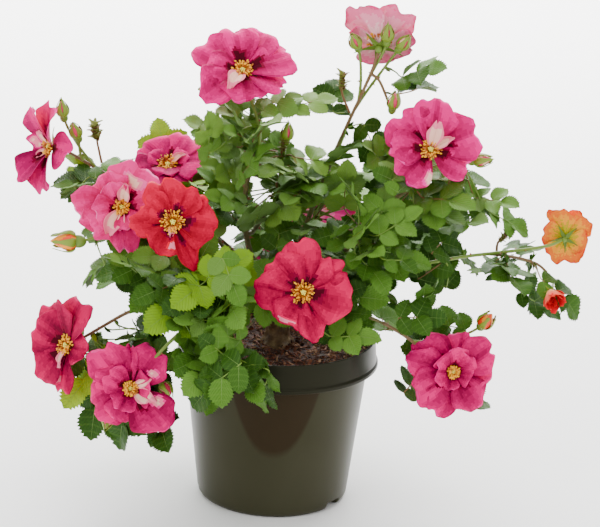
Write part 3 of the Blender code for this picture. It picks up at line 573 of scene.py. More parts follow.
# How many finer leaves each mass has, in the masses' order, and the places of those that
# have one of their own.
FILL = {
    "top_left": 7, "top_right": 3, "right_high": 10, "far_left": 5, "left": 16,
    "front": 12, "low_left": 6, "low_front_left": 10, "front_low": 11, "low_right": 6,
    "far_right": 9, "young_left": 16, "inner": 24, "inner_right": 22, "back_left": 20,
    "back": 14, "back_right": 14, "low_back_left": 14, "low_back": 12,
}
FILL_SPRAYS = {
    "top_left": [(24, 10, 378), (-4, 6, 376), (-70, 0, 350), (-48, 0, 338)],
    "top_right": [(34, 14, 378), (60, 16, 352), (70, 14, 347)],
    "right_high": [(72, 10, 340), (84, 12, 346), (176, -12, 286), (206, -10, 276), (60, 10, 350)],
    "far_left": [(-164, 20, 298), (-190, 26, 286)],
    "left": [(-170, -14, 226), (-176, -12, 216), (-150, -26, 216), (-120, -14, 200)],
    "far_right": [(157, -10, 211), (210, -6, 226)],
    "low_right": [(150, -20, 192), (100, -44, 102)],
    "low_left": [(-107, -36, 169), (-108, -16, 170), (-124, -12, 166)],
    "low_front_left": [(-140, -54, 76), (-108, -52, 76), (-178, -20, 84)],
    "front_low": [(-88, -80, 150), (-88, -74, 98)],
    "back_left": [(-94, 46, 320), (-78, 42, 314), (-112, 46, 308)],
    "inner": [(-68, 30, 296), (-28, 20, 308), (-49, -6, 261), (-61, -6, 248)],
}


def grown_crown():
    """(runs, leaves) of every mass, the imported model's leaves first."""
    limbs, crowd = all_limbs(), Crowd()
    crown = {name: (stems(name), []) for name in MASSES}
    for name, mass in MASSES.items():
        targets = leaf_targets(FIRST_GROWTH, name, mass.sprays, mass.leaves)
        wanted = mass.leaves + len(mass.sprays)
        add_leaves(FIRST_GROWTH, name, *crown[name], targets, wanted, limbs, crowd)
    for name, count in FILL.items():
        targets = leaf_targets(FINER_GROWTH, name, FILL_SPRAYS.get(name, []), count)
        add_leaves(FINER_GROWTH, name, *crown[name], targets, count, limbs, crowd)
    return crown


# --- Meshes -------------------------------------------------------------------------

def new_object(name, data):
    obj = bpy.data.objects.new(name, data)
    bpy.context.scene.collection.objects.link(obj)
    return obj


class Heap:
    """Corners and faces that end up as one mesh with several materials."""

    def __init__(self):
        self.verts, self.uvs, self.faces, self.shades = [], [], [], []
        self.start = self.count = 0

    def add(self, verts, faces, shades, uvs=None):
        """Corners (n, 3), faces (m, 3 or 4), a shade for each face or one for all."""
        verts = np.asarray(verts, dtype=np.float32)
        self.verts.append(verts)
        self.uvs.append(np.zeros((len(verts), 2)) if uvs is None else np.asarray(uvs))
        self.start = self.count
        self.count += len(verts)
        self.add_faces(faces, shades)

    def add_faces(self, faces, shades):
        """More faces on the corners that were added last."""
        self.faces.append((np.asarray(faces) + self.start).astype(np.int32))
        self.shades.append(np.broadcast_to(shades, len(faces)))

    def build(self, name, materials, smooth=True):
        """One object with only those of the materials that its faces wear."""
        shades = np.concatenate(self.shades).astype(np.int32)
        worn = np.unique(shades)
        verts = np.concatenate(self.verts)
        uvs = np.concatenate(self.uvs).astype(np.float32)
        corners = np.concatenate([faces.ravel() for faces in self.faces])
        sizes = np.concatenate([np.full(len(f), f.shape[1]) for f in self.faces])
        starts = np.concatenate([[0], np.cumsum(sizes)[:-1]]).astype(np.int32)
        mesh = bpy.data.meshes.new(name)
        mesh.vertices.add(len(verts))
        mesh.vertices.foreach_set("co", verts.ravel())
        mesh.loops.add(len(corners))
        mesh.loops.foreach_set("vertex_index", corners)
        mesh.polygons.add(len(sizes))
        mesh.polygons.foreach_set("loop_start", starts)
        mesh.polygons.foreach_set("material_index", np.searchsorted(worn, shades).astype(np.int32))
        mesh.update(calc_edges=True)
        layer = mesh.uv_layers.new(name="grain")
        layer.data.foreach_set("uv", uvs[corners].ravel())
        for shade in worn:
            mesh.materials.append(materials[shade])
        mesh.validate()
        mesh.polygons.foreach_set("use_smooth", np.full(len(mesh.polygons), smooth))
        return new_object(name, mesh)


def seat(obj, slot, *nodes):
    """A piece rides on the root and stands for its nodes; its slot is not used."""
    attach(obj, "root")
    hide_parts(*nodes)


def grid_faces(rows, columns, closed=False):
    """Quads of a grid of corners, row after row; closed joins the last column to the first."""
    wide = columns if closed else columns - 1
    i, j = np.meshgrid(np.arange(rows - 1), np.arange(wide), indexing="ij")
    a = (i * columns + j).ravel()
    b = (i * columns + (j + 1) % columns).ravel()
    return np.stack([a, b, b + columns, a + columns], axis=1)


LIMB_LUMPS = 3.2 * MM               # size of the lumps on a rough limb
LIMB_GRAIN = 10 * MM                # length of one turn of its grain map
LIMB_TIP = 0.8                      # length of its tip, by its end radius


def cap_faces(last, sides):
    """Triangles from a closed row of corners, the first being `last`, to the next corner."""
    return [(last + k, last + (k + 1) % sides, last + sides) for k in range(sides)]


def add_limb(heap, points, radii, sides, shade, rough=0.0, seed=0.0):
    """Round limb with an open foot and a pointed tip, and its grain map."""
    points = np.array(points)
    ahead = np.gradient(points, axis=0)
    ahead /= np.linalg.norm(ahead, axis=1)[:, None]
    across = np.array(Vector(ahead[0]).orthogonal().normalized())
    rings, length = [], 0.0
    turns = np.arange(sides) * 2 * math.pi / sides
    uvs = []
    for i, (point, way) in enumerate(zip(points, ahead)):
        across = across - way * across.dot(way)
        across /= np.linalg.norm(across)
        over = np.cross(way, across)
        ring = np.cos(turns)[:, None] * across + np.sin(turns)[:, None] * over
        size = np.full(sides, radii[i])
        if rough:
            for k in range(sides):
                spot = Vector(point + ring[k] * radii[i]) / LIMB_LUMPS + Vector((seed, 0, 0))
                size[k] *= 1 + rough * noise.noise(spot)
        rings.append(point + ring * size[:, None])
        if i:
            length += np.linalg.norm(point - points[i - 1])
        uvs.append(np.stack([turns / (2 * math.pi), np.full(sides, length / LIMB_GRAIN)], axis=1))
    tip = points[-1] + ahead[-1] * radii[-1] * LIMB_TIP
    heap.add(np.concatenate(rings + [tip[None]]), grid_faces(len(points), sides, closed=True),
             shade, np.concatenate(uvs + [uvs[-1][:1]]))
    heap.add_faces(cap_faces((len(points) - 1) * sides, sides), shade)


def frame_of(axis, face):
    """Rows across, along and up of a blade's own frame."""
    across = axis.cross(face).normalized()
    return np.array([across, axis.normalized(), across.cross(axis).normalized()])


# --- Colours and materials -------------------------------------------------------------

LEAF_VEINS = 7.0                    # side veins along a leaflet
VEIN_SLANT = 0.62                   # how far they lean to its tip
PETAL_VEINS = 9.0                   # veins from the middle of a petal to its edge
LEAF_SHEEN, PETAL_SHEEN = 0.14, 0.05


def tone(colour):
    """Linear opaque colour of an sRGB one from 0 to 255."""
    return (*(((c / 255 + 0.055) / 1.055) ** 2.4 if c > 10 else c / 255 / 12.92
              for c in colour), 1.0)


def new_material(name, colour, roughness, sheen=0.5):
    """Plain material of an sRGB colour as (material, node tree, shader).

    `sheen` is its specular level.
    """
    mat = bpy.data.materials.new(name)
    mat.use_nodes = True
    shader = mat.node_tree.nodes["Principled BSDF"]
    shader.inputs["Base Color"].default_value = tone(colour)
    shader.inputs["Roughness"].default_value = roughness
    shader.inputs["Specular IOR Level"].default_value = sheen
    return mat, mat.node_tree, shader


def math_node(tree, operation, first, second=None):
    node = tree.nodes.new("ShaderNodeMath")
    node.operation = operation
    for socket, value in zip(node.inputs, (first, second)):
        if isinstance(value, (int, float)):
            socket.default_value = value
        elif value is not None:
            tree.links.new(value, socket)
    return node.outputs[0]


def noise_node(tree, scale, detail, roughness=0.5):
    node = tree.nodes.new("ShaderNodeTexNoise")
    node.inputs["Scale"].default_value = scale
    node.inputs["Detail"].default_value = detail
    node.inputs["Roughness"].default_value = roughness
    places = tree.nodes.new("ShaderNodeTexCoord").outputs["Object"]
    tree.links.new(places, node.inputs["Vector"])
    return node.outputs["Fac"]


def ramp_node(tree, factor, *stops):
    """Colour ramp of (place, colour) stops."""
    node = tree.nodes.new("ShaderNodeValToRGB")
    ends = node.color_ramp.elements
    while len(ends) < len(stops):
        ends.new(0.5)
    for end, (spot, colour) in zip(ends, stops):
        end.position = spot
        end.color = tone(colour)
    tree.links.new(factor, node.inputs["Fac"])
    return node.outputs["Color"]


def range_node(tree, value, low, high, to_low, to_high):
    """The value taken from one range to another, held at its ends."""
    node = tree.nodes.new("ShaderNodeMapRange")
    for socket, number in zip(node.inputs[1:5], (low, high, to_low, to_high)):
        socket.default_value = number
    tree.links.new(value, node.inputs[0])
    return node.outputs[0]


def blend_node(tree, share, first, second):
    """Colour that goes from the first, a socket, to the second, sRGB, by a share."""
    node = tree.nodes.new("ShaderNodeMix")
    node.data_type = "RGBA"
    tree.links.new(share, node.inputs[0])
    tree.links.new(first, node.inputs[6])
    node.inputs[7].default_value = tone(second)
    return node.outputs[2]


def roughen(tree, shader, value, low, high):
    """Roughness from low to high where the value, a noise, goes from 0.3 to 0.7."""
    tree.links.new(range_node(tree, value, 0.3, 0.7, low, high), shader.inputs["Roughness"])


def bump_node(tree, shader, height, distance):
    node = tree.nodes.new("ShaderNodeBump")
    node.inputs["Distance"].default_value = distance
    node.inputs["Strength"].default_value = 1.0
    tree.links.new(height, node.inputs["Height"])
    tree.links.new(node.outputs["Normal"], shader.inputs["Normal"])


def grain_axes(tree):
    """Across (0 in the middle) and along values of the blade's own map."""
    grain = tree.nodes.new("ShaderNodeUVMap")
    grain.uv_map = "grain"
    parts = tree.nodes.new("ShaderNodeSeparateXYZ")
    tree.links.new(grain.outputs["UV"], parts.inputs[0])
    return math_node(tree, "ABSOLUTE", parts.outputs["X"]), parts.outputs["Y"]


def ridges(tree, value, sharpness):
    """Ridge at each whole number of the value."""
    saw = math_node(tree, "FRACT", value)
    tent = math_node(tree, "ABSOLUTE", math_node(tree, "SUBTRACT", saw, 0.5))
    return math_node(tree, "POWER", math_node(tree, "MULTIPLY", tent, 2.0), sharpness)


def leaf_material(name, colour, gloss=0.48):
    """Leaf skin: side veins that slant to the tip, a fine mesh between, a waxy sheen."""
    mat, tree, shader = new_material(name, colour, gloss, LEAF_SHEEN)
    across, length = grain_axes(tree)
    slant = math_node(tree, "SUBTRACT", math_node(tree, "MULTIPLY", length, LEAF_VEINS),
                      math_node(tree, "MULTIPLY", across, LEAF_VEINS * VEIN_SLANT))
    veins = ridges(tree, slant, 7.0)
    mesh = noise_node(tree, 900.0, 2.0)
    height = math_node(tree, "SUBTRACT", math_node(tree, "MULTIPLY", mesh, 0.5), veins)
    bump_node(tree, shader, height, 0.35 * MM)
    roughen(tree, shader, noise_node(tree, 160.0, 3.0), gloss - 0.07, gloss + 0.12)
    return mat


def petal_material(name, colour):
    """Petal skin: velvety, with fine veins that fan out from the claw."""
    mat, tree, shader = new_material(name, colour, 0.55, PETAL_SHEEN)
    fan = math_node(tree, "MULTIPLY", grain_axes(tree)[0], PETAL_VEINS)
    veins = ridges(tree, fan, 3.0)
    crepe = noise_node(tree, 420.0, 4.0)
    height = math_node(tree, "ADD", math_node(tree, "MULTIPLY", veins, 0.35), crepe)
    bump_node(tree, shader, height, 0.30 * MM)
    roughen(tree, shader, crepe, 0.46, 0.66)
    return mat


def rind_material(name, colour):
    """Green shoot skin: long fine fibres under a dull wax."""
    mat, tree, shader = new_material(name, colour, 0.5)
    bump_node(tree, shader, noise_node(tree, 1400.0, 3.0), 0.12 * MM)
    roughen(tree, shader, noise_node(tree, 240.0, 2.0), 0.42, 0.62)
    return mat


def bark_material(name, dark, middle, light, scale):
    """Cane, stem or chip bark: streaks and flecks of three tones, with relief."""
    mat, tree, shader = new_material(name, middle, 0.62)
    streaks = noise_node(tree, scale, 6.0, roughness=0.65)
    colour = ramp_node(tree, streaks, (0.32, dark), (0.5, middle), (0.68, light))
    tree.links.new(colour, shader.inputs["Base Color"])
    fine = noise_node(tree, scale * 6, 4.0)
    bump_node(tree, shader, math_node(tree, "ADD", streaks, fine), 0.5 * MM)
    roughen(tree, shader, fine, 0.5, 0.75)
    return mat


# --- Leaves ---------------------------------------------------------------------------

LEAFLET_KINDS = 10
LEAFLET_ROWS = 21                   # two rows to a tooth
STIPULE_ROWS = 7
LEAFLET_FLESH = 0.008               # thickness, as a share of the length
LEAFLET_BREADTH = 0.80              # breadth, as a share of the length
TOOTH_OUT, TOOTH_UP = 0.070, 0.030  # how far a tooth stands out and forward
RIB_END = 0.94                      # where the midrib's strip ends
RIB_HALF = 0.008                    # half its width at the foot
RIB_ROWS = 8
RIB_LIFT = 0.005                    # height of the strip above the blade
VEIN_RISE = 0.16                    # how far a side vein climbs on its way to the margin
VEIN_SPACING = 4                    # rows from one paler side vein to the next

GREENS = {
    "leaf_deep": (42, 76, 13), "leaf_dark": (56, 93, 20), "leaf_mid": (78, 119, 34),
    "leaf_fresh": (94, 136, 46), "leaf_grey": (96, 133, 52), "leaf_light": (110, 147, 56),
    "leaf_lime": (116, 156, 20), "leaf_yellow": (144, 178, 34), "leaf_bronze": (116, 118, 34),
}
RIBS = {"rib_green": (108, 142, 62), "rib_red": (128, 98, 48)}
UNDERS = {"under_grey": (98, 130, 62), "under_lime": (130, 162, 44)}
UNDER_GLOSS = 0.6                   # roughness of the undersides
VEIN_TONE = 0.18                    # how far a side vein goes from its blade's tone to the rib's
FOLIAGE = [*GREENS, *RIBS, *UNDERS, *[name + "_vein" for name in GREENS]]
MATURE = ("leaf_deep", "leaf_dark", "leaf_dark", "leaf_mid", "leaf_mid", "leaf_fresh",
          "leaf_fresh", "leaf_grey", "leaf_light")
YOUNG = ("leaf_lime", "leaf_lime", "leaf_yellow", "leaf_fresh", "leaf_lime", "leaf_bronze")
# Share of each mass's leaves that are still young, and how much deeper or paler its others
# are.
YOUTH = {"young_left": 0.72, "front_low": 0.10, "left": 0.0, "far_left": 0.10,
         "top_right": 0.0, "top_left": 0.0, "back_left": 0.50}
YOUTH_ELSEWHERE = 0.03
DARKER = {"top_right": 0.75, "far_right": 0.25, "far_left": 0.2}
LIGHTER = {"top_left": 0.20, "inner": 0.10, "back": 0.15}
GROUPS = {
    "high": ("top_left", "top_right", "right_high", "inner", "inner_right", "far_left"),
    "front": ("left", "front", "young_left", "front_low", "low_left", "low_front_left"),
    "right": ("low_right", "far_right", "back_right", "back"),
    "rear": ("back_left", "low_back_left", "low_back"),
}


def leaflet_kind(kind, row_count):
    """Toothed leaflet of unit length as (corners, faces, roles, map), seen from above.

    Roles are 0 for the upper side, 1 for the midrib, 2 for the underside and 3 for the
    paler strips along the side veins.
    """
    draw = random.Random(f"leaflet {kind}")
    fold, sag = draw.uniform(0.08, 0.36), draw.uniform(0.02, 0.20)
    wave, swing = draw.uniform(0.01, 0.045), draw.uniform(0, 6.28)
    twist, fat = draw.uniform(-0.12, 0.12), draw.uniform(0.90, 1.08)
    t = np.linspace(0.0, 1.0, row_count)
    edge = np.sin(math.pi * t ** 0.76) ** 0.70 * (1 - 0.20 * t ** 3) * LEAFLET_BREADTH / 2 * fat
    tooth = np.where(np.arange(row_count) % 2 == 1, 1.0, 0.0)
    tooth[-2:] = 0.0
    reach = edge + tooth * TOOTH_OUT
    forward = t + tooth * TOOTH_UP + VEIN_RISE * np.sin(math.pi * t) * edge

    def height(x, y, share):
        blade = fold * np.abs(x) - sag * y ** 2 + twist * x * y
        pillow = 0.035 * np.sin(math.pi * share) * np.sin(math.pi * y)
        ripple = wave * np.sin(9.0 * y + swing + np.sign(x)) * share ** 2
        return blade + pillow + ripple

    corners, faces, roles, grains = [], [], [], []
    count = 0
    sheets = ((0, (-1.0, -0.55, 0.0, 0.55, 1.0), 0.0), (2, (-1.0, 0.0, 1.0), -LEAFLET_FLESH))
    for role, shares, lift in sheets:
        share = np.array(shares)[None, :]
        x = reach[:, None] * share
        along_it = t[:, None] + (forward - t)[:, None] * np.abs(share) ** 1.5
        z = height(x, along_it, np.abs(share)) + lift
        corners.append(np.stack([x, along_it, z], axis=2).reshape(-1, 3))
        grains.append(np.stack([x * 2.6, along_it], axis=2).reshape(-1, 2))
        quads = grid_faces(row_count, len(shares)) + count
        faces.append(quads if role == 0 else quads[:, ::-1])
        rows = np.arange(len(quads)) // (len(shares) - 1)
        roles += list(np.where((role == 0) & (rows % VEIN_SPACING == 2), 3, role))
        count += x.size
    line = np.linspace(0.0, RIB_END, RIB_ROWS)
    half = RIB_HALF * (1.1 - line)
    x = half[:, None] * np.array([[-1.0, 1.0]])
    y = np.repeat(line[:, None], 2, axis=1)
    z = height(x, y, np.zeros_like(x)) + RIB_LIFT
    corners.append(np.stack([x, y, z], axis=2).reshape(-1, 3))
    grains.append(np.stack([x, y], axis=2).reshape(-1, 2))
    faces.append(grid_faces(RIB_ROWS, 2) + count)
    roles += [1] * len(faces[-1])
    return (np.concatenate(corners), np.concatenate(faces), np.array(roles),
            np.concatenate(grains))


LEAFLETS = [leaflet_kind(kind, LEAFLET_ROWS) for kind in range(LEAFLET_KINDS)]
STIPULES = [leaflet_kind(kind, STIPULE_ROWS) for kind in range(LEAFLET_KINDS)]


def add_leaflet(heap, foot, axis, face, length, tones, draw, kinds=LEAFLETS, breadth=1.0):
    """One leaflet, a little tipped and turned, in its (upper, rib, under, vein) shades."""
    corners, faces, roles, grains = kinds[draw.randrange(LEAFLET_KINDS)]
    lean = Matrix.Rotation(draw.gauss(0, 0.20), 3, axis) @ face
    pitch = Matrix.Rotation(draw.gauss(0, 0.12), 3, axis.cross(face).normalized()) @ axis
    basis = frame_of(pitch, lean)
    spots = corners * np.array([breadth, 1.0, 1.0]) * length @ basis + np.array(foot)
    heap.add(spots, faces, np.array(tones)[roles], grains)


def leaf_tones(name, middle, draw):
    """Shades of one compound leaf: young at the tips; mature ones darker low in the crown and
    lighter high in it, a painted shade and light.
    """
    if draw.random() < YOUTH.get(name, YOUTH_ELSEWHERE):
        upper = draw.choice(YOUNG)
        rib, under = ("rib_red" if upper == "leaf_bronze" else "rib_green"), "under_lime"
    else:
        # Painted shade and light: mature leaves get a darker tone low in the crown and a lighter
        # one high in it.
        height = (middle.z - 60 * MM) / (340 * MM)
        shift = LIGHTER.get(name, 0.0) - DARKER.get(name, 0.0)
        lightness = max(0.0, draw.gauss(0.92 * height - 0.06 + shift, 0.18))
        pick = min(len(MATURE) - 1, int(len(MATURE) * lightness))
        upper, rib, under = MATURE[pick], "rib_green", "under_grey"
    return [FOLIAGE.index(tone_name) for tone_name in (upper, rib, under)]


def neighbour_tone(shade, draw):
    """The same shade, or now and then the next darker or lighter of the mature ones."""
    if shade >= FOLIAGE.index("leaf_lime"):
        return shade
    return min(max(shade + draw.choice((-1, 0, 0, 0, 1)), 0), FOLIAGE.index("leaf_light"))


def veined_tone(shade):
    """The shade of the strips along a leaflet's side veins."""
    return FOLIAGE.index(FOLIAGE[shade] + "_vein")


def smooth_line(points, steps):
    """A Catmull-Rom line of `steps` spots through the points."""
    points = [Vector(p) for p in points]
    ends = [2 * points[0] - points[1], *points, 2 * points[-1] - points[-2]]
    line = []
    for i in range(steps):
        spot = i / (steps - 1) * (len(points) - 1)
        k = min(int(spot), len(points) - 2)
        t = spot - k
        a, b, c, d = ends[k:k + 4]
        line.append(0.5 * (2 * b + (c - a) * t + (2 * a - 5 * b + 4 * c - d) * t * t
                           + (3 * b - a - 3 * c + d) * t ** 3))
    return line


PETIOLE_STEPS = 14
PETIOLE_RADII = (0.85, 0.45)        # millimetres, at its foot and at the end leaflet
RED_PETIOLES = 0.3                  # share of leaves with a reddish petiole
STIPULE_LENGTH = 9.0 * MM
STIPULE_BREADTH = 0.5               # beside that of a leaflet
STIPULE_SPREAD = 0.35               # how far the two stand apart


def add_leaf(blades, shoots, name, leaf, index):
    """One compound leaf with its petiole, stipules and leaflets."""
    stalk, (spine, leaflets), face = leaf
    draw = random.Random(f"{name} looks {index}")
    tones = leaf_tones(name, spine[1], draw)
    line = smooth_line([*stalk, *spine], PETIOLE_STEPS)
    green = SHOOTS.index("petiole_red" if draw.random() < RED_PETIOLES else "petiole_green")
    add_limb(shoots, line, np.linspace(*PETIOLE_RADII, len(line)) * MM, 5, green)
    for foot, axis, length in leaflets:
        upper = neighbour_tone(tones[0], draw)
        own = [upper, *tones[1:], veined_tone(upper)]
        add_leaflet(blades, foot, axis, face, length * draw.uniform(0.90, 1.12), own, draw)
    out = (line[2] - line[0]).normalized()
    side = out.cross(face).normalized()
    for hand in (-1, 1):
        axis = (out + side * hand * STIPULE_SPREAD).normalized()
        own = [*tones, tones[0]]
        add_leaflet(blades, line[0] + out * MM, axis, face, STIPULE_LENGTH, own, draw,
                    STIPULES, STIPULE_BREADTH)


# --- Shoots, prickles and canes ----------------------------------------------------------

SHOOT_TINTS = {"petiole_green": (108, 140, 44), "petiole_red": (124, 94, 48),
               "shoot_green": (108, 134, 44), "shoot_red": (112, 84, 46),
               "prickle": (138, 72, 44)}
SHOOTS = list(SHOOT_TINTS)
# All by a prickle's size. Rings: height, shift up the cane and spread.
PRICKLE_RINGS = ((0.0, 0.0, 1.0), (0.42, 0.03, 0.46), (0.8, -0.10, 0.17))
PRICKLE_SUNK = 0.12                 # how deep its foot sits in the skin
PRICKLE_FOOT = (0.42, 0.17)         # half length and half width of its foot
PRICKLE_POINT = (0.95, 0.26)        # height of its point and how far that bends down


def add_prickle(heap, foot, out, ahead, size, shade):
    """Hooked prickle with a long flat foot, its point bent back down the cane."""
    side = out.cross(ahead).normalized()
    verts, sides = [], 6
    for rise, shift, spread in PRICKLE_RINGS:
        for k in range(sides):
            a = 2 * math.pi * k / sides
            verts.append(foot + out * size * (rise - PRICKLE_SUNK) + ahead * size * shift
                         + ahead * math.cos(a) * size * PRICKLE_FOOT[0] * spread
                         + side * math.sin(a) * size * PRICKLE_FOOT[1] * spread)
    verts.append(foot + out * size * PRICKLE_POINT[0] - ahead * size * PRICKLE_POINT[1])
    heap.add([tuple(v) for v in verts], grid_faces(3, sides, closed=True), shade)
    heap.add_faces(cap_faces(2 * sides, sides), shade)


def add_prickles(heap, line, radii, spacing, size, shade, seed, reach):
    """Prickles at uneven spaces round a shoot or cane, over a (from, to) share of it."""
    draw = random.Random(seed)
    length = sum((q - p).length for p, q in zip(line, line[1:]))
    count = int(length * (reach[1] - reach[0]) / spacing)
    for i in range(count):
        share = reach[0] + (reach[1] - reach[0]) * (i + draw.random()) / max(1, count)
        foot, ahead = along(line, share)
        radius = np.interp(share, np.linspace(0, 1, len(radii)), radii)
        turn = i * GOLDEN_ANGLE + draw.uniform(-0.5, 0.5)
        out = Matrix.Rotation(turn, 3, ahead) @ ahead.orthogonal().normalized()
        own = size * draw.uniform(0.6, 1.15)
        add_prickle(heap, foot + out * radius * 0.9, out, ahead, own, shade)


STEM_RADII, SHOOT_RADII = (1.8, 1.35), (1.5, 1.2)    # millimetres, at foot and end
RED_SHOOTS = 0.35                   # share of shoots that are reddish


def add_shoots(heap, name, runs):
    """A mass's own stem and the stalks of its blooms and buds."""
    for i, run in enumerate(runs):
        line = smooth_line(run, 22)
        radii = np.linspace(*(SHOOT_RADII if i else STEM_RADII), len(line)) * MM
        draw = random.Random(f"{name} shoot {i}")
        shade = SHOOTS.index("shoot_red" if draw.random() < RED_SHOOTS else "shoot_green")
        add_limb(heap, line, radii, 8, shade, 0.10, i)
        add_prickles(heap, line, radii, 9 * MM, 3.0 * MM, SHOOTS.index("prickle"),
                     f"{name} prickles {i}", (0.05, 0.75))


CANE_TAPER = 0.40                   # how much thinner a cane is at its end
CANE_ROUGHNESS = 0.16
CANE_SUNK = 3.0 * MM                # how deep a cane's foot sits in the wood it springs from
CANE_FLARE = (1.5, 1.35, 1.15)      # breadth of its first rings
NODES = np.arange(0.14, 0.98, 0.17)  # shares of a cane where it has a node
NODE_SWELL, NODE_LENGTH = 0.16, 0.012


def make_canes():
    """All canes as one piece, and their prickles as another."""
    heap, thorns = Heap(), Heap()
    nodes = ["cane_" + name for name in CANES]
    for name, cane in CANES.items():
        run = cane_run(name, 30)
        ahead = (run[1] - run[0]).normalized()
        run = [run[0] - ahead * CANE_SUNK, *run]
        line = smooth_line(run, 64)
        share = np.linspace(0, 1, len(line))
        radii = cane.radius * MM * (1.0 - CANE_TAPER * share)
        for node in NODES:
            radii = radii * (1 + NODE_SWELL * np.exp(-((share - node) / NODE_LENGTH) ** 2))
        radii[:3] *= CANE_FLARE
        add_limb(heap, line, radii, 12, 0, CANE_ROUGHNESS, len(name))
        add_prickles(thorns, line, radii, 8 * MM, 4.6 * MM, 0, name + " thorns", (0.10, 0.98))
    bark = bark_material("cane_bark", (82, 74, 38), (98, 94, 50), (126, 104, 62), 170.0)
    seat(heap.build("canes", [bark]), "cane_bark", *nodes)
    thorn_skin, tree, shader = new_material("cane_prickles", (150, 84, 60), 0.45)
    bump_node(tree, shader, noise_node(tree, 900.0, 3.0), 0.15 * MM)
    seat(thorns.build("cane_prickles", [thorn_skin]), "cane_bark", *nodes)


# --- Blooms ---------------------------------------------------------------------------------

PETAL_ROWS = 21
PETAL_COLUMNS = 19
PETAL_FLESH = 0.3 * MM
SHAPE_STEPS = 60                    # steps in the sum of a petal's slope
CLAW = 0.16                         # breadth of a petal's foot beside its widest part
HEART = 2.2 * MM                    # petals spring from a ring of this radius
BASE = 0.28                         # how deep the petals' feet are, by the bloom's radius
LIMB_STEPS = 6                      # shades from a petal's deep foot to its light edge, partly painted shade
FOLD_TAPER = 0.62                   # how much narrower a small cream fold is at its end
BACK_STEPS = 5                      # shades of its reverse from the foot to the rim
EYE_REACH = 0.44                    # how far up a petal its dark blotch runs

# Colours of a tint: the limb's depth, its light, the rim, the reverse and its paler foot.
# The limb's depth is partly its own deeper colour and partly painted shade deep in the bloom.
TINTS = {
    "pink": ((140, 0, 62), (236, 0, 128), (250, 40, 156), (244, 50, 148), (250, 160, 186)),
    "rose": ((128, 0, 56), (232, 0, 116), (246, 40, 140), (236, 50, 136), (246, 164, 184)),
    "crimson": ((124, 0, 40), (218, 0, 82), (232, 0, 84), (206, 0, 70), (248, 120, 138)),
    "wine": ((104, 0, 40), (200, 0, 80), (220, 8, 98), (192, 8, 78), (240, 130, 150)),
    "scarlet": ((134, 0, 26), (212, 0, 60), (230, 0, 48), (220, 6, 36), (248, 140, 60)),
    "faded": ((180, 0, 76), (242, 46, 136), (246, 96, 164), (240, 70, 142), (248, 196, 200)),
    "dusk": ((130, 0, 64), (222, 0, 116), (236, 36, 140), (230, 56, 134), (246, 170, 186)),
    "blush": ((206, 8, 96), (244, 30, 122), (238, 40, 118), (246, 150, 176), (254, 222, 216)),
    "dawn": ((176, 0, 24), (226, 0, 34), (250, 60, 50), (250, 120, 90), (252, 206, 130)),
    "apricot": ((240, 50, 18), (246, 104, 22), (226, 30, 40), (246, 158, 36), (150, 166, 12)),
}
COMMON = {"eye": (70, 0, 20), "eye_soft": (122, 0, 44), "foot": (250, 200, 60),
          "cream": (252, 196, 176), "cream_pink": (248, 130, 156)}
SHADE_ENDS = [*range(LIMB_STEPS), "rim", *[f"back_{step}" for step in range(BACK_STEPS)]]
PETALS = [*COMMON, *[f"{tint}_{end}" for tint in TINTS for end in SHADE_ENDS]]

# turn: degrees clockwise from the top, seen by one who looks at the bloom's face; reach
# and width by its radius; rise and droop: slope at foot and tip in degrees; cup: how far
# the sides come forward; tilt: how far the clockwise side stands forward of the other;
# curl: degrees that the sides roll in; flash: a cream patch's middle and half extent,
# along and across.
Petal = namedtuple("Petal", "turn reach width rise droop cup tilt ruffle notch curl flash",
                   defaults=(50, -16, 0.14, 0.10, 0.05, 0.06, 0, None))


